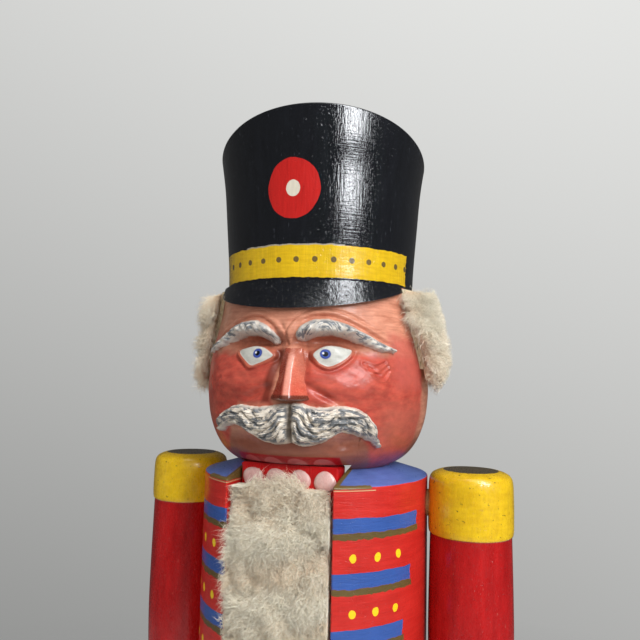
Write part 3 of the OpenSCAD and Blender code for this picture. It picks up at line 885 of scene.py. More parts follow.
    # the upper lip: a dark red strip over the slot, with four painted teeth
    lip = p.least(SLOT_HALF - 0.2 - abs(p.x), 7.3 - (p.z - COLLAR), p.y_front())
    place = p.x / 7.3
    tx = (p.math("FRACT", place) - 0.5) * 7.3
    tz = (p.z - COLLAR - 4.7) * 1.45
    tooth = p.least(2.9 - p.math("SQRT", tx * tx + tz * tz), lip)
    lip_red = p.mix(p.noise((0.8,) * 3), srgb(138, 12, 22), srgb(176, 20, 30))
    colour = p.mix(p.inside(lip, 0.3), colour, lip_red)
    colour = p.mix(p.inside(tooth, 0.3) * 0.8, colour, srgb(186, 96, 98))
    return brushed(p, colour, (0.5, 0.5, 0.7), gloss=0.37, coat=0.15, stroke=0.8, pits=0.2, specular=0.35)


def nose_material():
    """The nose: a paler ridge as a painted highlight, painted shade on one side plane and on the
    underside, and darker towards the face.
    """
    p = Paint("carved_nose_look")
    level = p.z - COLLAR
    across = abs(p.angle(turn=NOSE_TURN))
    streak = p.noise((0.4, 0.4, 0.8), detail=4, shift=9)
    red = p.mix(p.spread(streak, 0.3, 0.7), srgb(216, 108, 84), srgb(200, 80, 60))
    colour = p.mix(p.inside(level - 30.0, 9.0) * 0.5, red, PALE_SKIN)
    # painted highlight: the nose's ridge is painted paler
    colour = p.mix(p.inside(1.1 - across, 1.0) * 0.6, colour, srgb(244, 176, 156))
    # painted shade on the nose's side plane towards the figure's right, away from the window light
    painted_shade_plane = p.inside(-1.6 - p.angle(turn=NOSE_TURN), 1.0)
    colour = p.mix(painted_shade_plane * 0.85, colour, srgb(136, 50, 36))
    # painted shade: the nose's underside is painted dark, mixed in below
    under = p.inside(24.3 - level, 0.5)
    behind = p.inside(35.0 - p.radius(), 2.5)
    colour = p.mix(behind * 0.5, colour, srgb(150, 70, 52))
    colour = p.mix(under * 0.9, colour, srgb(92, 42, 28))
    return brushed(p, colour, (0.5, 0.5, 0.9), gloss=0.25, coat=0.5, stroke=0.7, pits=0.2)


def fist_material():
    """Painted skin of the fists."""
    p = Paint("fist_look")
    skin = p.mix(p.noise((0.3,) * 3, detail=3), SKIN, srgb(206, 118, 92))
    return brushed(p, skin, (0.6, 0.6, 0.3), gloss=0.28, coat=0.45)


def build_head(material):
    """The head as one closed skin: fine columns over the face, coarse ones behind."""
    front = np.arange(-86, 86.01, 0.36)
    back = np.arange(90, 270.01, 4.0)
    degrees = np.concatenate([front, back])
    rows = np.linspace(0, 1, 188)
    heights = np.interp(rows, [0, 0.9, 1], [3.2, 50, 56.4])
    deg, height = np.meshgrid(degrees, heights)
    body_angle = np.radians(deg + HEAD_TURN)
    radius0 = head_radius(np.full(deg.shape, 3.2))
    under_slot = np.abs(np.sin(body_angle) * radius0) < SLOT_HALF
    height = np.where(under_slot, 4.8 + (height - 3.2) * (56.4 - 4.8) / (56.4 - 3.2), height)
    u = np.where(deg <= 180, deg, deg - 360) * U_OF_DEG
    relief, masks = head_relief(u, height)
    relief = relief * step_up(height - 5.2, 3.0)
    radius = head_radius(height) + relief
    verts = np.stack([np.sin(body_angle) * radius, -np.cos(body_angle) * radius, height + COLLAR], -1)
    n = len(degrees)
    points, faces = loft(verts, caps=False)
    ring = list(range(n))
    top = [(len(heights) - 1) * n + i for i in range(n)]
    slot = under_slot[0]
    runs, start = [], 0
    for i in range(1, n + 1):
        if i == n or slot[i] != slot[start]:
            runs.append((bool(slot[start]), ring[start:i]))
            start = i
    if runs[0][0] == runs[-1][0]:
        runs[0] = (runs[0][0], runs[-1][1] + runs[0][1])
        runs.pop()
    open_runs = [r for is_slot, r in runs if is_slot]
    cheek_runs = [r for is_slot, r in runs if not is_slot]
    faces += [tuple(r) for r in cheek_runs]
    faces.append(tuple(open_runs[0] + open_runs[1]))
    for cheek in cheek_runs:
        first, last = cheek[0], cheek[-1]
        before, after = (first - 1) % n, (last + 1) % n
        faces.append((first, last, after, before))
    faces.append(tuple(top))
    masks.update(behind=np.clip((np.abs(u) - 44) / 3, 0, 1), face_u=u, face_v=height,
                 hollow=np.clip(-relief, 0, 9))
    attributes = {label: values.reshape(-1) for label, values in masks.items()}
    return make_piece("carved_head", points, faces, material, sharp=60, attributes=attributes)


def build_nose(material):
    """A wedge with a flat underside, a narrow flat ridge and two steep sides."""
    loops = []
    for t in np.linspace(0, 1, 40):
        height = 23.5 + 13.6 * t
        half = 6.3 - 3.9 * t ** 0.8
        ridge = 1.25 - 0.35 * t
        reach = 40.2 - 6.6 * t ** 1.1 + 0.5 * math.sin(t * math.pi) - 1.2 * max(0, t - 0.85) / 0.15
        cheek = head_radius(height) - 1.4
        wing = 0.35 * math.exp(-(t / 0.22) ** 2)
        waist = 0.35 * math.sin(t * math.pi)
        middle = (half + ridge) / 2 - waist
        outline = [(-half, 28.5), (-half - wing, cheek), (-middle, (cheek + reach) / 2),
                   (-ridge, reach - 0.25), (0, reach + 0.05), (ridge, reach - 0.25),
                   (middle, (cheek + reach) / 2), (half + wing, cheek), (half, 28.5)]
        line = smooth_corner(outline, 5, 9, [0.4, 0.4, 0.4, 1.1, 0.6, 1.1, 0.4, 0.4, 0.4])
        loops.append([(x, -y, height + COLLAR) for x, y in line])
    loops = np.array(loops)
    centre = loops[0].mean(0)
    rims = []
    for draw, drop in ((0.9, 0.55), (0.965, 0.38), (0.99, 0.16)):
        rim = centre + (loops[0] - centre) * np.array([draw, draw, 1])
        rim[:, 2] = loops[0][:, 2] - drop
        rims.append(rim)
    verts, faces = loft(np.concatenate([np.array(rims), loops]))
    return make_piece("carved_nose", turn_head(verts, NOSE_TURN), faces, material, sharp=65)


def smooth_corner(outline, count=4, between=0, cuts=None):
    """The closed outline with each corner cut by a short curve, and points along its straights."""
    pts = np.array(outline, float)
    n = len(pts)
    cuts = cuts or [0.45] * n

    def cut_point(i, towards):
        away = pts[towards % n] - pts[i % n]
        return pts[i % n] + away * min(0.45, cuts[i % n] / max(np.linalg.norm(away), 1e-6))

    out = []
    for i in range(n):
        a, b, far = cut_point(i, i - 1), cut_point(i, i + 1), cut_point(i + 1, i)
        for t in np.linspace(0, 1, count):
            out.append((1 - t) ** 2 * a + 2 * t * (1 - t) * pts[i] + t ** 2 * b)
        for k in range(between):
            out.append(b + (far - b) * (k + 1) / (between + 1))
    return np.array(out)


NOSE_TURN = 6.8                            # where the nose points, in degrees to the figure's left


def turn_head(points, degrees=HEAD_TURN):
    """Turns points made facing forward to where the head looks."""
    a = math.radians(degrees)
    c, s = math.cos(a), math.sin(a)
    p = np.asarray(points)
    return np.stack([p[..., 0] * c - p[..., 1] * s, p[..., 0] * s + p[..., 1] * c, p[..., 2]], -1)


# ---------------------------------------------------------------- hat and peak
HAT_SLANT = 16.0                           # of the hat's top, in degrees
HAT_SKEW = 10.5                            # the top's highest point, in degrees from the head's middle
HAT_SEAT = 56.5                            # where the hat sits on the head
HAT_MIDDLE = 97.1                          # height of the slanting top at the hat's axis


def build_hat(material):
    """A cone that widens upwards; its top slants, so the loops above the side shear with it."""
    side = smooth_curve([(29.7, HAT_SEAT), (30.0, 64), (31.0, 77), (32.0, 89), (33.4, 99),
                         (34.35, 108)], 60)
    slope = math.tan(math.radians(HAT_SLANT))
    angle = np.linspace(0, 2 * math.pi, 240, endpoint=False)
    ring = np.stack([np.sin(angle), -np.cos(angle)], 1)
    rise = slope * np.cos(angle - math.radians(HAT_SKEW))
    edge = 33.5
    for _ in range(4):
        top = HAT_MIDDLE + edge * rise
        edge = np.interp(top, side[:, 1], side[:, 0])
    loops = []
    for t in np.linspace(0, 1, 44):
        height = HAT_SEAT + (top - 0.9 - HAT_SEAT) * t
        loops.append(np.column_stack([ring * np.interp(height, side[:, 1], side[:, 0])[:, None], height]))
    for draw, drop in ((0.05, 0.6), (0.3, 0.22), (0.7, 0.04), (1.3, 0.0), (9, 0), (20, 0), (32.8, 0)):
        r = np.maximum(edge - draw, 0.3)
        loops.append(np.column_stack([ring * r[:, None], HAT_MIDDLE + r * rise - drop]))
    bottom = [np.column_stack([ring * r, np.full(len(ring), HAT_SEAT)]) for r in (4, 29.2)]
    verts, faces = loft(turn_head(np.array(bottom + loops)) + np.array([0, 0, COLLAR]))
    return make_piece("painted_hat", verts, faces, material, sharp=50)


def build_peak(material):
    """The thin black crescent over the brow."""
    loops = []
    for deg in np.linspace(-66.0, 66.0, 140):
        low = 59.4 - 11.2 * math.cos(math.radians(deg))
        high = HAT_SEAT - 0.05
        a = math.radians(deg)
        line = []
        for t in np.linspace(0, 1, 9):
            v = low + (high - low) * t
            stand_off = 0.2 + 1.5 * (1 - t) ** 1.4 * min(1, (high - low) / 6)
            line.append((head_radius(v) + stand_off + 0.35, v))
        base = head_radius(low)
        section = [(base - 0.5, low + 0.15), (line[0][0] - 0.35, low - 0.12), *line,
                   (head_radius(high) - 0.4, high)]
        loops.append([(math.sin(a) * r, -math.cos(a) * r, v + COLLAR) for r, v in section])
    verts, faces = loft(turn_head(np.array(loops)))
    return make_piece("lacquered_peak", verts, faces, material, sharp=50)


# ---------------------------------------------------------------- trunk, lever, limbs and base
def cheek_loop(radius, height):
    """Outline of the right-hand cheek of the slotted trunk at one level."""
    edge = 0.35
    first = math.asin((SLOT_HALF + edge) / radius)
    arc = np.linspace(first, math.pi - first, 150)
    outer = np.stack([np.sin(arc) * radius, -np.cos(arc) * radius], 1)
    y_edge = math.cos(math.asin(SLOT_HALF / radius)) * radius - edge
    wall = np.stack([np.full(60, SLOT_HALF), np.linspace(y_edge, -y_edge, 60)], 1)
    flat = np.concatenate([outer, wall])
    return np.column_stack([flat, np.full(len(flat), height)])


def build_trunk(material):
    """The turned body below the slot, and the two cheeks that rise beside it."""
    verts, faces = [], []

    def join(part):
        offset = sum(len(v) for v in verts)
        verts.append(part[0])
        faces.extend(tuple(i + offset for i in f) for f in part[1])

    levels = [(TRUNK_R, z) for z in np.linspace(SLOT_FLOOR, COLLAR - 0.5, 60)]
    bevel = rounded_profile([(TRUNK_R, COLLAR - 0.5, 0), (TRUNK_R, COLLAR, 0.45),
                             (24.0, COLLAR + COLLAR_RISE, 0)], 5)
    levels += [(r, z) for r, z in finely(bevel, 0.9)[1:]]
    cheek = np.array([cheek_loop(r, z) for r, z in levels])
    join(loft(cheek))
    other = loft(mirrored(cheek))
    join((other[0], [f[::-1] for f in other[1]]))
    low = rounded_profile([(0.5, TRUNK_LOW[2], 0), (TRUNK_R, TRUNK_LOW[2], 1.5),
                           (TRUNK_R, SLOT_FLOOR, 0)], 6)
    profile = np.concatenate([finely(low, 2.5), [[0.5, SLOT_FLOOR]]])
    join(loft(turned(profile, columns=360)))
    return make_piece("painted_trunk", np.concatenate(verts), faces, material)


def fan_arc(centre, radius, start, stop, count=18):
    """Points along an arc in the plane of depth and height."""
    a = np.radians(np.linspace(start, stop, count))
    return np.stack([centre[0] + radius * np.cos(a), centre[1] + radius * np.sin(a)], 1)


LIP_RISE = 0.7                             # of the lip over its CAD node, up to the chin


def build_lever(material):
    """The lever with softened edges: lip, nut seat, toe and handle."""
    back = TRUNK_R + 0.7
    toe_r = PIN[1] - JAW_FACE
    heel = PIN[2] - toe_r
    tip = LEVER_LOW[2]
    lip = LEVER_HIGH[2] + LIP_RISE
    face = np.stack([np.full(60, JAW_FACE), np.linspace(lip, PIN[2], 60)], 1)
    outline = np.concatenate([
        face, fan_arc(PIN[1:], toe_r, 180, 270)[1:],
        [[back, heel + 1.5], [back + 1.5, heel - 24], [back + 7, tip + 6]],
        fan_arc((back + 13, tip + 6), 6, 180, 360),
        [[back + 17.5, heel - 20], [back + 15, heel + 14]],
        fan_arc((back + 3, heel + 26), 12, 0, 78),
        [[30, COLLAR - 22], [-13, COLLAR - 12.5], [-16.5, COLLAR - 9], [-17.3, lip]]])
    outline = finely(np.vstack([outline, outline[:1]]), 3.0)[:-1]
    half = (LEVER_HIGH[0] - LEVER_LOW[0]) / 2
    bevel = 0.9
    tangent = np.roll(outline, -1, 0) - np.roll(outline, 1, 0)
    inward = np.stack([-tangent[:, 1], tangent[:, 0]], 1)
    inward /= np.linalg.norm(inward, axis=1)[:, None]
    loops = []
    for x, inset in edge_steps(half, bevel):
        flat = outline + inward * inset
        loops.append(np.column_stack([np.full(len(flat), x), flat]))
    loops = np.array(loops)
    waist = heel - 14
    narrow = 1 - (1 - 11 / half) * np.clip((waist - loops[..., 2]) / (waist - tip - 6), 0, 1)
    loops[..., 0] *= narrow
    verts, faces = loft(loops)
    return make_piece("painted_lever", verts, faces, material, sharp=40)


def edge_steps(half, bevel, count=4):
    """Positions across a board and how far its rounded edges draw in there."""
    a = np.linspace(0, math.pi / 2, count)
    left = [(-half + bevel * (1 - math.cos(t)), bevel * (1 - math.sin(t))) for t in a]
    middle = [(x, 0.0) for x in np.linspace(-half + bevel, half - bevel, 12)[1:-1]]
    right = [(-x, i) for x, i in left[::-1]]
    return left + middle + right


def build_teeth(material):
    """Four big ovals on the lip of the lower jaw."""
    verts, faces = [], []
    for k, (x, wide) in enumerate(((-11.1, 3.2), (-3.8, 3.2), (3.6, 3.15), (11.0, 3.35))):
        rings = []
        for t in np.linspace(0, 1, 12):
            lift = 1.15 * math.sqrt(max(0, 1 - t ** 2.6))
            a = np.linspace(0, 2 * math.pi, 40, endpoint=False)
            shape = 1 + 0.04 * np.sin(3 * a + k)
            rings.append(np.column_stack([x + wide * t * np.cos(a) * shape + 1e-3 * np.cos(a),
                                          np.full(40, JAW_FACE - lift + 0.12),
                                          COLLAR + 0.1 + 3.0 * t * np.sin(a) * shape + 1e-3 * np.sin(a)]))
        base = rings[-1].copy()
        base[:, 1] = JAW_FACE + 0.4
        part = loft(np.array(rings + [base]), offset=sum(len(v) for v in verts))
        verts.append(part[0])
        faces += part[1]
    return make_piece("lower_teeth", np.concatenate(verts), faces, material, sharp=60)


def build_arm(side, material):
    """A turned sleeve with its cuff and its shoulder cap."""
    top = 2.6
    cap_end = CAP_END[side]
    cuff = CUFF - COLLAR
    profile = rounded_profile([
        (0.5, cuff, 0), (11.6, cuff, 0.8), (12.4, cuff + 1, 0.5), (12.4, cuff + 11, 0.5),
        (11.7, cuff + 12, 0.3), (12.4, -48, 8), (12.3, -34, 8), (11.95, cap_end - 0.3, 0.2),
        (12.3, cap_end, 0.3), (12.5, cap_end + 1.2, 0.8), (12.55, -8, 2), (12.4, top - 4, 1),
        (12.0, top - 1.6, 1.2), (10.3, top - 0.5, 1.1), (8.4, top, 0.3), (0.5, top, 0)], 6)
    loops = turned(finely(profile, 1.6), (side * ARM_X, ARM_Y, COLLAR), 128)
    verts, faces = loft(loops)
    return make_piece(f"painted_arm_{SIDES[side]}", verts, faces, material, sharp=50)


def build_fist(side, material):
    """A closed fist: four rolled fingers round an upright grip, and the thumb over them."""
    low, high = box_mm("hand_left")
    centre = (low + high) / 2
    half = (high - low) / 2
    rows, columns = 64, 96
    angle = np.linspace(0, 2 * math.pi, columns, endpoint=False)
    loops = []
    for t in np.linspace(-1, 1, rows):
        round_off = max(1e-3, 1 - abs(t) ** 4.5) ** 0.42
        finger = abs(math.sin((t + 1) * 2 * math.pi)) ** 0.6
        on_fingers = step_up(np.cos(angle + 0.5) + 0.35, 0.5)
        x = np.sign(np.sin(angle)) * np.abs(np.sin(angle)) ** 0.8
        y = -np.sign(np.cos(angle)) * np.abs(np.cos(angle)) ** 0.8
        size = round_off * (0.9 + 0.1 * finger * on_fingers - 0.04 * (1 - on_fingers) * t)
        loops.append(np.column_stack([x * half[0] * size, y * half[1] * size,
                                      np.full(columns, t * half[2])]))
    verts, faces = loft(np.array(loops) + centre)
    thumb_path = smooth_curve(
        [(-6.5, -3, 7.5), (-7.3, -7.6, 5.2), (-3.8, -10.4, 2.4), (0.6, -10.9, 0.6)], 14)
    rings = []
    for k, point in enumerate(thumb_path):
        ahead = thumb_path[min(k + 1, 13)] - thumb_path[max(k - 1, 0)]
        ahead /= np.linalg.norm(ahead)
        across = np.cross(ahead, (0, 0, 1))
        across /= np.linalg.norm(across)
        above = np.cross(across, ahead)
        fat = 2.6 * math.sqrt(max(0.02, 1 - (k / 13.0) ** 6)) * (1 if k else 0.6)
        a = np.linspace(0, 2 * math.pi, 24, endpoint=False)[:, None]
        rings.append(point + fat * (np.cos(a) * across + np.sin(a) * above))
    thumb = loft(np.array(rings) + centre, offset=len(verts))
    points = np.concatenate([verts, thumb[0]])
    if side < 0:
        points = mirrored(points)
    return make_piece(f"painted_fist_{SIDES[side]}", points, faces + thumb[1], material, sharp=60)


def build_leg(side, material):
    """A turned boot and trouser leg."""
    height = LEG_HIGH[2] - LEG_LOW[2]
    boot = 44
    rest = height - boot
    profile = rounded_profile([
        (0.5, 0, 0), (12.8, 0, 0.5), (12.6, 7, 3), (12.2, 13, 4), (13.2, 26, 8), (14.7, boot - 3.8, 1),
        (15.4, boot - 3.4, 0.4), (15.5, boot - 0.3, 0.5), (13.5, boot, 0.3), (13.3, boot + 3, 1.5),
        (14, boot + 0.3 * rest, 8), (15, boot + 0.65 * rest, 8), (15.6, boot + 0.9 * rest, 4),
        (15.6, height, 0.3), (0.5, height, 0)], 6)
    loops = turned(finely(profile, 2.0), (side * LEG_X, 0, LEG_LOW[2]), 128)
    verts, faces = loft(loops)
    return make_piece(f"painted_leg_{SIDES[side]}", verts, faces, material, sharp=50)


def build_toe(side, material):
    """The rounded toe of a boot with a thin sole."""
    low, _ = box_mm("foot_left")
    loops = []
    front = -low[1]
    levels = [(0, 0.985, 0), (0.6, 1, 0), (2.3, 1, 0), (2.7, 0.955, 0.4), (3.2, 0.95, 0.5),
              (6, 0.965, 0.8), (9, 0.945, 2.2), (11.5, 0.9, 5.2), (13.5, 0.82, 9.5), (15.2, 0.7, 14.5),
              (16.4, 0.56, 19), (17, 0.4, 22.5)]
    a = np.linspace(0, 2 * math.pi, 96, endpoint=False)
    for z, wide, drawn in smooth_curve(levels, 40):
        reach = front - drawn
        centre_y = -reach / 2 - 3
        ry = reach / 2 - 3
        x = np.sign(np.sin(a)) * np.abs(np.sin(a)) ** 0.8 * 13.6 * wide
        y = centre_y - np.sign(np.cos(a)) * np.abs(np.cos(a)) ** 0.9 * ry
        loops.append(np.column_stack([x + side * LEG_X, y, np.full(96, low[2] + z)]))
    verts, faces = loft(np.array(loops))
    return make_piece(f"lacquered_toe_{SIDES[side]}", verts, faces, material, sharp=50)


def rounded_box_loop(half_x, half_y, corner, height, count=14):
    """A rectangle with rounded corners at one height."""
    points = []
    for k, (sx, sy) in enumerate(((1, 1), (-1, 1), (-1, -1), (1, -1))):
        for t in np.linspace(0, math.pi / 2, count):
            a = k * math.pi / 2 + t
            points.append((sx * (half_x - corner) + corner * math.cos(a),
                           sy * (half_y - corner) + corner * math.sin(a), height))
    return points


def build_base(material):
    """The plinth, with a moulded upper edge."""
    hx, hy, top = BASE_HIGH
    steps = [(0.8, 0), (0.2, 0.25), (0, 0.9), (0, top - 4.4), (0.3, top - 3.6), (1.0, top - 3.1),
             (2.4, top - 2.9), (2.9, top - 2.6), (3.0, top - 1.2), (3.3, top - 0.5), (4.0, top)]
    loops = [rounded_box_loop(hx - i, hy - i, 9 - i * 0.8, z) for i, z in steps]
    verts, faces = loft(np.array(loops))
    return make_piece("varnished_base", verts, faces, material, sharp=40)


# ---------------------------------------------------------------- sheepskin
def wool_material(name, root, tip, grey):
    """Colour runs from the root to the tip of each strand; each clump has a tint of its own."""
    p = Paint(name)
    layer = p.tree.nodes.new("ShaderNodeUVMap")
    layer.uv_map = "OFBake"
    clump, along, _ = p.separate(Field(p, layer.outputs[0]))
    colour = p.mix(p.spread(along, 0.0, 0.75), root, tip)
    colour = p.mix(p.spread(clump, 0.45, 1.0, 0.0, 0.9), colour, grey)
    p.shader.inputs["Sheen Roughness"].default_value = 0.4
    p.shader.inputs["Sheen Tint"].default_value = srgb(255, 240, 212) + (1.0,)
    return p.finish(colour, 0.72, coat_roughness=0.03, sheen=1.0)


def make_locks(rng, lead, normals, length, droop, spread):
    """Where each lock of wool starts, the way it points and how long it is."""
    down = np.array([0.0, 0.0, -droop])
    way = unit(normals + down + rng.normal(0, spread, lead.shape))
    return lead, way, length * rng.uniform(0.7, 1.12, len(lead))


def wool(name, roots, normals, locks, seed, material, droop=0.3, thick=0.085, curl=0.9, squeeze=None):
    """Closed tapered strands in locks: each strand leans towards its lock's tip, droops and curls."""
    rng = np.random.default_rng(seed)
    n = len(roots)
    down = np.array([0.0, 0.0, -droop])
    lead, lock_dir, lock_len = locks
    nearest = np.empty(n, int)
    for start in range(0, n, 2000):
        block = roots[start:start + 2000]
        nearest[start:start + 2000] = ((block[:, None, :] - lead[None]) ** 2).sum(-1).argmin(1)
    tips = lead + lock_dir * lock_len[:, None]
    own_dir = unit(normals + down + rng.normal(0, 0.5, (n, 3)))
    # seeds with the same hundreds share their clumps, so that these run on from piece to piece
    clump = ripple(roots[:, 0] * 0.55 + roots[:, 1] * 0.35, roots[:, 2] * 0.75, seed // 100 + 40)
    own_len = lock_len[nearest] * rng.uniform(0.6, 1.1, n) * (0.92 + 0.2 * clump)
    gather = rng.uniform(0.1, 0.65, n)[:, None]
    target = (1 - gather) * (roots + own_dir * own_len[:, None]) + gather * (
        tips[nearest] + rng.normal(0, 1.0, (n, 3)))
    bend = roots + normals * (own_len * 0.5)[:, None]
    side_a = unit(np.cross(target - roots, rng.normal(size=(n, 3))))
    side_b = np.cross(unit(target - roots), side_a)
    phase = rng.uniform(0, 2 * math.pi, n) * 0.5 + nearest * 1.7
    turns = rng.uniform(1.3, 2.8, n)
    reach = curl * rng.uniform(0.5, 1.3, n)
    fat = thick * rng.choice([0.75, 1.0, 1.5], n, p=[0.4, 0.35, 0.25]) * rng.uniform(0.85, 1.15, n)
    tint = np.clip(0.5 - 0.42 * clump + rng.uniform(-0.22, 0.22, n), 0, 1)
    steps = np.linspace(0, 1, 7)
    level = len(steps) - 1
    rings = []
    for t in steps:
        at = (1 - t) ** 2 * roots + 2 * t * (1 - t) * bend + t ** 2 * target
        swing = phase + 2 * math.pi * turns * t
        wave = (reach * t ** 0.6)[:, None]
        at = at + wave * (np.cos(swing)[:, None] * side_a + np.sin(swing)[:, None] * side_b)
        if squeeze is not None:
            at = squeeze(at)
        if t == 1:
            rings.append(at)
            break
        width = (fat * (1 - 0.7 * t))[:, None]
        for a in (0, 2 * math.pi / 3, 4 * math.pi / 3):
            out = math.cos(a) * side_a + math.sin(a) * side_b
            rings.append(at + width * out)
    per = len(rings)
    points = np.stack(rings, 1).reshape(-1, 3)
    pattern = [(3 * k + a, 3 * k + (a + 1) % 3, 3 * k + 3 + (a + 1) % 3, 3 * k + 3 + a)
               for k in range(level - 1) for a in range(3)]
    last = 3 * (level - 1)
    closing = [(2, 1, 0)] + [(last + a, last + (a + 1) % 3, per - 1) for a in range(3)]
    base = (np.arange(n) * per)[:, None, None]
    quads = (base + np.array(pattern)[None]).reshape(-1, 4)
    tris = (base + np.array(closing)[None]).reshape(-1, 3)
    mesh = bpy.data.meshes.new(name)
    loops = np.concatenate([quads.reshape(-1), tris.reshape(-1)]).astype(np.int32)
    starts = np.concatenate([np.arange(len(quads)) * 4, len(quads) * 4 + np.arange(len(tris)) * 3])
    mesh.vertices.add(len(points))
    mesh.vertices.foreach_set("co", (points * MM).astype(np.float32).reshape(-1))
    mesh.loops.add(len(loops))
    mesh.loops.foreach_set("vertex_index", loops)
    mesh.polygons.add(len(starts))
    mesh.polygons.foreach_set("loop_start", starts.astype(np.int32))
    mesh.update(calc_edges=True)
    mesh.polygons.foreach_set("use_smooth", [True] * len(starts))
    t_of = np.concatenate([np.repeat(steps[:level], 3), [1.0]])
    layer = mesh.uv_layers.new(name="OFBake")
    uv = np.column_stack([tint[loops // per] * 0.96 + 0.02, t_of[loops % per] * 0.96 + 0.02])
    layer.data.foreach_set("uv", uv.astype(np.float32).reshape(-1))
    mesh.materials.append(material)
    piece = bpy.data.objects.new(name, mesh)
    bpy.context.scene.collection.objects.link(piece)
    return piece


def unit(vectors):
    """The vectors at length 1."""
    return vectors / (np.linalg.norm(vectors, axis=1)[:, None] + 1e-9)


HIDE_T = 1.3                               # thickness of the hide
HIDE_LEAN = 8.5                            # of the hide's front edges, from upright
HIDE_LOW = 32.5                            # lower edge of the hair's hide


def hide_edge(height):
    """Angle from the middle of the face at which the hair's hide begins, at a height."""
    y = 12 - math.tan(math.radians(HIDE_LEAN)) * (56 - height)
    return np.degrees(np.arccos(y / (head_radius(height) + HIDE_T)))


def hair_swell(height):
    """How far the matted undercoat stands out from the hide."""
    return 1.5 * np.sqrt(np.maximum(1 - np.abs((height - 43.0) / 13.2) ** 2.4, 0))


def hair_roots(rng, count, start, stop):
    """Points on the hair's undercoat within a share of its sweep, and their outward normals."""
    height = rng.uniform(HIDE_LOW + 0.1, 55.6, count)
    edge = hide_edge(height)
    deg = edge + 0.1 + (360 - 2 * edge - 0.2) * rng.uniform(start, stop, count)
    a = np.radians(deg + HEAD_TURN)
    r = head_radius(height) + HIDE_T - 0.1 + 0.3 * hair_swell(height)
    roots = np.stack([np.sin(a) * r, -np.cos(a) * r, height + COLLAR], 1)
    low = np.clip((40 - height) / 7, 0, 1)
    high = np.clip((height - 47) / 8, 0, 1)
    forward = np.clip(1 - (deg - edge) / 5, 0, 1) * 0.9 - np.clip(1 - (360 - edge - deg) / 6, 0, 1) * 1.7
    normals = np.stack([np.sin(a) - forward * np.cos(a), -np.cos(a) - forward * np.sin(a),
                        -1.3 * low ** 1.5 - 0.2 * high], 1)
    return roots, unit(normals)


def hair_squeeze(at):
    """Keeps the wool off the hat, the head and the air round it."""
    level = at[:, 2] - COLLAR
    radius = np.hypot(at[:, 0], at[:, 1])
    outline = np.interp(level, [25, 27, 30, 34, 40, 48, 53, 57],
                        [36.5, 38.6, 40.6, 41.8, 41.6, 39.6, 38, 36.6])
    outline = outline + 1.4 * np.clip(-at[:, 0] / 30, 0, 1)
    wanted = np.minimum(radius, outline + 1.3 * (1 - np.exp(-np.maximum(radius - outline, 0) / 1.3)))
    wanted = np.maximum(wanted, head_radius(np.clip(level, 4, 56)) + 0.5)
    at = at.copy()
    at[:, :2] *= (wanted / radius)[:, None]
    at[:, 2] = COLLAR + np.where(level > 56.0, 56.0 + 1.2 * (1 - np.exp(-(level - 56.0) / 1.2)), level)
    at[:, 2] -= 3.6 * np.clip((-at[:, 0] - 22) / 12, 0, 1) * np.clip((60 - level) / 26, 0, 1)
    return at


BEARD_LOW, BEARD_HIGH = PIN[2] - 2.5, COLLAR - 2.5
BEARD_HALF = 13.2                          # half the width of the beard's undercoat


def beard_swell(share_across, z):
    """How far the beard's matted undercoat stands out from its hide."""
    t = np.clip((z - BEARD_LOW) / (BEARD_HIGH - BEARD_LOW), 0, 1)
    tall = 5.0 * np.sqrt(np.maximum(0.02, 1 - np.abs(2 * t - 1) ** 5))
    tall = tall - 2.5 * np.clip((t - 0.8) / 0.2, 0, 1)
    return tall * np.maximum(1 - share_across ** 2, 0) ** 0.45


def beard_roots(rng, count):
    """Points on the beard's undercoat, and the directions in which its pile stands."""
    x = rng.uniform(-BEARD_HALF, BEARD_HALF, count)
    z = rng.uniform(PIN[2] - 0.5, COLLAR - 2.6, count)
    top = np.clip((z - (COLLAR - 7)) / 4.4, 0, 1)
    keep = np.abs(x + 0.6 * top) < 13.4 - 1.2 * top ** 3
    x, z, top = x[keep], z[keep], top[keep]
    out = np.maximum(beard_swell(x / BEARD_HALF, z) - 2.6, -0.1)
    roots = np.stack([x, JAW_FACE - HIDE_T - out, z], 1)
    lean = np.where(x > 0, 0.3, 0.95)
    normals = unit(np.stack([x / 13.6 * lean, np.full(len(x), -1.0), 1.2 * top - 0.12], 1))
    return roots, normals


def beard_squeeze(at):
    """Holds the pile between the cheeks of the slot, and lets it swell a little in front of them."""
    at = at.copy()
    front = np.clip((-at[:, 1] - 31.5) / 3.5, 0, 1)
    for side, wide, start in ((1, 15.6, PIN[2] + 8), (-1, 18.4, COLLAR - 42)):
        limit = 13.8 + (wide - 13.8) * front * np.clip((at[:, 2] - start) / 16, 0, 1)
        over = np.maximum(at[:, 0] * side - limit, 0)
        at[:, 0] -= side * (over - 1.0 * (1 - np.exp(-over / 1.0)))
    ceiling = COLLAR + 5.0 - np.minimum(np.abs((at[:, 0] + 1.2) / 8.2) ** 2.5, 1.04) * 7.0
    over = np.maximum(at[:, 2] - ceiling, 0)
    at[:, 2] -= over - 0.8 * (1 - np.exp(-over / 0.8))
    return at


def blob(name, loops, material, rough=0.5, seed=1):
    """A lumpy body of matted wool under the strands."""
    verts, faces = loft(loops)
    lumps = ripple(verts[:, 0] * 0.8 + verts[:, 1] * 0.5, verts[:, 2] * 0.8 - verts[:, 1] * 0.4, seed)
    centre = verts.mean(0)
    away = verts - centre
    away /= np.linalg.norm(away, axis=1)[:, None] + 1e-9
    return make_piece(name, verts + away * (lumps * rough)[:, None], faces, material, sharp=80)


HAIR_STRANDS, BEARD_STRANDS = 5800, 5850   # in one piece of wool


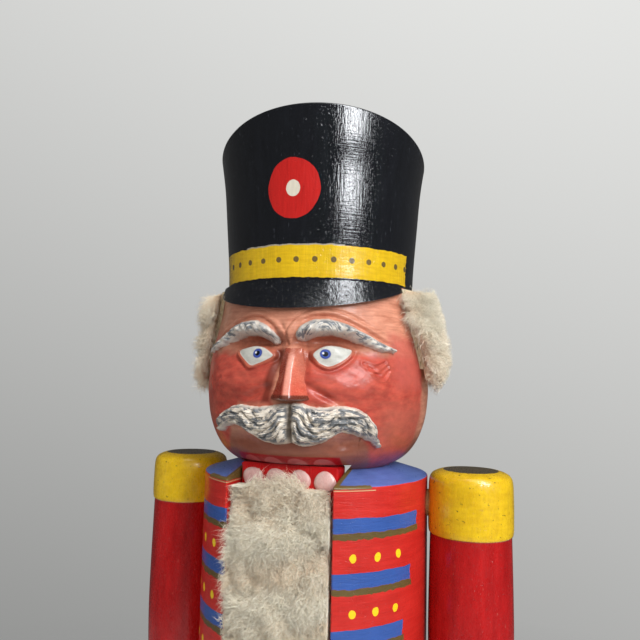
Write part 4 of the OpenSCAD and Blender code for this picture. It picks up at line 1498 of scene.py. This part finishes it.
def build_hair(materials):
    """The band of sheepskin round the head: strands in twelve pieces over a matted undercoat."""
    pieces = []
    rng = np.random.default_rng(71)
    shares = [0, 0.06, 0.13, 0.2, 0.28, 0.37, 0.5, 0.63, 0.72, 0.8, 0.87, 0.94, 1]
    locks = make_locks(rng, *hair_roots(rng, 420, 0, 1), 9.0, 0.2, 0.6)
    for k, (start, stop) in enumerate(zip(shares[:-1], shares[1:])):
        roots, normals = hair_roots(rng, HAIR_STRANDS, start, stop)
        pieces.append(wool(f"hair_wool_{k + 1}", roots, normals, locks, 100 + k, materials[0], curl=0.9,
                           squeeze=hair_squeeze))
    loops = []
    for share in np.linspace(0.003, 0.997, 170):
        section = []
        swell = min(1.0, share / 0.05 + 0.1, (1 - share) / 0.05 + 0.1)
        for s in np.linspace(-1, 1, 24):
            height = 42.5 + 13.2 * s - 1.6 * math.sqrt(max(0, 1 - s * s))
            bulge = 1.5 * swell * math.sqrt(max(0, 1 - abs(s) ** 2.4)) * (1 - 0.1 * s)
            section.append((head_radius(height) + HIDE_T + bulge + 0.1, height))
        section += [(head_radius(h) + HIDE_T - 0.3, h) for h in np.linspace(55.2, HIDE_LOW - 2.0, 10)]
        points = []
        for r, height in section:
            edge = hide_edge(max(height, HIDE_LOW))
            a = math.radians(edge + (360 - 2 * edge) * share + HEAD_TURN)
            points.append((math.sin(a) * r, -math.cos(a) * r, height + COLLAR))
        loops.append(points)
    pieces.append(blob("hair_undercoat", np.array(loops), materials[1], 0.35, 5))
    return pieces


def build_beard(materials):
    """The beard of sheepskin on the lever: strands in eight pieces over a matted undercoat."""
    pieces = []
    rng = np.random.default_rng(72)
    locks = make_locks(rng, *beard_roots(rng, 170), 11.0, 0.15, 0.5)
    for k in range(8):
        roots, normals = beard_roots(rng, BEARD_STRANDS)
        pieces.append(wool(f"beard_wool_{k + 1}", roots, normals, locks, 200 + k, materials[0], curl=1.25,
                           squeeze=beard_squeeze))
    loops = []
    back = JAW_FACE - HIDE_T
    for t in np.linspace(0, 1, 46):
        z = BEARD_LOW + (BEARD_HIGH - BEARD_LOW) * t
        half = BEARD_HALF - 4.5 * max(0, (t - 0.9) / 0.1) ** 2 - 2.5 * max(0, (0.08 - t) / 0.08) ** 2
        across = -np.cos(np.linspace(0, math.pi, 40))
        front = np.stack([across * half, back - beard_swell(across, z)], 1)
        flat = np.concatenate([front, [[half, back + 0.2], [-half, back + 0.2]]])
        loops.append(np.column_stack([flat, np.full(len(flat), z)]))
    pieces.append(blob("beard_undercoat", np.array(loops), materials[1], 0.5, 8))
    return pieces


# ---------------------------------------------------------------- putting it together
face_look = face_material()
nose_look = nose_material()
lacquer = lacquer_material()
bare_wood = wood_material("bare_wood_look", srgb(206, 164, 112), srgb(166, 118, 70), 0.65)
varnished = wood_material("varnished_wood_look", srgb(178, 120, 66), srgb(120, 70, 32), 0.28, 0.42)
hide_look = hide_material()
wool_look = wool_material("wool_look", srgb(254, 222, 182), srgb(255, 249, 230), srgb(250, 216, 178))
under_look = wool_material("undercoat_look", srgb(250, 220, 182), srgb(255, 230, 198),
                           srgb(242, 208, 170))
fist_look = fist_material()

settle(build_head(face_look), "figure", "skin_paint", "head")
settle(build_nose(nose_look), "figure", "skin_paint", "nose")
settle(build_hat(hat_material()), "figure", "black_lacquer", "hat")
settle(build_peak(lacquer), "figure", "black_lacquer", "visor")
settle(build_trunk(coat_material()), "figure", "coat_paint", "trunk")
settle(build_lever(red_material()), "jaw", "red_paint", "jaw_lever")
settle(build_teeth(tooth_material()), "jaw", "red_paint")
settle(build_base(varnished), "figure", "varnished_wood", "base")
for side, name in SIDES.items():
    settle(build_arm(side, arm_material(side)), "figure", "red_paint", f"arm_{name}")
    settle(build_fist(side, fist_look), "figure", "skin_paint", f"hand_{name}")
    settle(build_leg(side, leg_material(side)), "figure", "blue_paint", f"leg_{name}")
    settle(build_toe(side, lacquer), "figure", "black_lacquer", f"foot_{name}")
hair = build_hair((wool_look, under_look))
for piece in hair:
    settle(piece, "figure", "wool")
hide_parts("hair_fur")
beard = build_beard((wool_look, under_look))
for piece in beard:
    settle(piece, "jaw", "wool")
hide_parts("beard_fur")

KEPT_LOOKS = {"base_screws": steel_material(), "hair_hide": hide_look, "beard_hide": hide_look}
for node in ("hip_dowels", "jaw_pin", "neck_dowels", "hat_dowel", "shoulder_dowels", "wrist_dowels"):
    KEPT_LOOKS[node] = bare_wood
for node, look in KEPT_LOOKS.items():
    NODES[node].data.materials.clear()
    NODES[node].data.materials.append(look)


# ---------------------------------------------------------------- floor, light and camera
FLOOR_CLEAR, FLOOR_END = 220.0, 640.0      # radii between which the floor melts into the surround
SURROUND_LEVEL = 0.51                      # of the pale surround, brighter up and to the figure's left
SURROUND_SLOPE = (0.144, 0.05, 0.43)


def build_floor():
    """A pale round floor that melts into the surround."""
    count = 96
    a = np.linspace(0, 2 * math.pi, count, endpoint=False)
    rings = [np.column_stack([np.cos(a) * r, np.sin(a) * r, np.zeros(count) - 0.2])
             for r in (1, 100, FLOOR_CLEAR, 400, FLOOR_END)]
    verts, faces = loft(np.array(rings), caps=False)
    faces.append(tuple(range(count)))
    p = Paint("floor_look")
    tone = p.noise((0.01, 0.01, 0.01), detail=2)
    p.finish(p.mix(tone, srgb(206, 206, 203), srgb(214, 214, 212)), 0.8)
    p.feed(p.shader.inputs["Alpha"], p.spread(p.radius(), FLOOR_CLEAR, FLOOR_END - 20, 1.0, 0.0))
    floor = make_piece("floor", verts, faces, p.material)


def soft_light(name, azimuth, elevation, distance, width, height, power, colour, aim, mirrored=True):
    """A softbox round the figure: azimuth 0 is in front of it, 90 towards its left arm.

    One that is not mirrored gives light but no reflection of itself in the gloss."""
    light = bpy.data.lights.new(name, "AREA")
    light.shape = "RECTANGLE"
    light.size, light.size_y = width, height
    light.energy = power
    light.color = colour
    lamp = bpy.data.objects.new(name, light)
    bpy.context.scene.collection.objects.link(lamp)
    a, e = math.radians(azimuth), math.radians(elevation)
    direction = Vector((math.sin(a) * math.cos(e), -math.cos(a) * math.cos(e), math.sin(e)))
    lamp.location = Vector(aim) + direction * distance
    lamp.rotation_mode = "QUATERNION"
    lamp.rotation_quaternion = direction.to_track_quat("Z", "Y")
    lamp.visible_glossy = mirrored
    return lamp


def build_lights():
    """The window at the figure's left, its second pane, and softer fill lights."""
    chest = (0, 0, (COLLAR + 20) * MM)
    cool, plain = (0.94, 0.965, 1.0), (1.0, 1.0, 1.0)
    soft_light("window", 49, 31, 1.0, 0.2, 0.8, 9.2, cool, chest)
    soft_light("pane", 61, 31, 1.0, 0.03, 0.8, 0.9, cool, chest)
    soft_light("side", 72, 14, 1.0, 0.5, 0.9, 1.6, plain, chest, mirrored=False)
    soft_light("room", 16, 22, 1.2, 0.8, 0.7, 3.2, plain, chest, mirrored=False)
    soft_light("ceiling", 40, 70, 1.1, 0.8, 0.6, 2.6, plain, chest)
    soft_light("bounce", -73, 8, 1.3, 1.2, 1.2, 4.8, plain, chest, mirrored=False)


def build_world():
    """An even pale surround; glossy paint sees it darker, as in a room."""
    world = bpy.data.worlds.new("studio")
    world.use_nodes = True
    bpy.context.scene.world = world
    tree = world.node_tree
    tree.nodes.clear()
    out = tree.nodes.new("ShaderNodeOutputWorld")
    paths = tree.nodes.new("ShaderNodeLightPath")
    seen, lit, mirrored_in = (tree.nodes.new("ShaderNodeBackground") for _ in range(3))
    for node, strength in ((seen, 1.0), (lit, 0.2), (mirrored_in, 0.07)):
        node.inputs["Strength"].default_value = strength
    place = tree.nodes.new("ShaderNodeTexCoord")
    tone = tree.nodes.new("ShaderNodeVectorMath")
    tone.operation = "DOT_PRODUCT"
    tone.inputs[1].default_value = SURROUND_SLOPE
    tree.links.new(place.outputs["Generated"], tone.inputs[0])
    level = tree.nodes.new("ShaderNodeMath")
    level.inputs[1].default_value = SURROUND_LEVEL
    tree.links.new(tone.outputs["Value"], level.inputs[0])
    tint = tree.nodes.new("ShaderNodeMix")
    tint.data_type = "RGBA"
    tint.inputs[6].default_value = (0, 0, 0, 1)
    tint.inputs[7].default_value = (1.0, 1.005, 0.985, 1)
    tree.links.new(level.outputs[0], tint.inputs[0])
    tree.links.new(tint.outputs[2], seen.inputs["Color"])
    first, second = tree.nodes.new("ShaderNodeMixShader"), tree.nodes.new("ShaderNodeMixShader")
    tree.links.new(paths.outputs["Is Glossy Ray"], first.inputs[0])
    tree.links.new(lit.outputs[0], first.inputs[1])
    tree.links.new(mirrored_in.outputs[0], first.inputs[2])
    tree.links.new(paths.outputs["Is Camera Ray"], second.inputs[0])
    tree.links.new(first.outputs[0], second.inputs[1])
    tree.links.new(seen.outputs[0], second.inputs[2])
    tree.links.new(second.outputs[0], out.inputs[0])


def build_camera():
    """A phone held close to the chest, looking slightly up, a little to the figure's left."""
    distance, azimuth, height = 208.8, math.radians(19.35), COLLAR + 28.6
    tilt, roll = math.radians(5.31), math.radians(1.33)
    data = bpy.data.cameras.new("camera")
    data.lens = 36.11
    data.sensor_width = 36.0
    data.clip_start = 0.01
    camera = bpy.data.objects.new("camera", data)
    bpy.context.scene.collection.objects.link(camera)
    away = Vector((-math.sin(azimuth), math.cos(azimuth), 0))
    forward = away * math.cos(tilt) + Vector((0, 0, math.sin(tilt)))
    level = Vector((math.cos(azimuth), math.sin(azimuth), 0))
    upright = level.cross(forward)
    right = level * math.cos(roll) + upright * math.sin(roll)
    up = upright * math.cos(roll) - level * math.sin(roll)
    turn = Matrix((right, up, -forward)).transposed()
    camera.rotation_mode = "QUATERNION"
    camera.rotation_quaternion = turn.to_quaternion()
    camera.location = (away * -distance + Vector((0, 0, height))) * MM
    bpy.context.scene.camera = camera


build_floor()
build_lights()
build_world()
build_camera()
bpy.context.scene.view_settings.view_transform = "Standard"
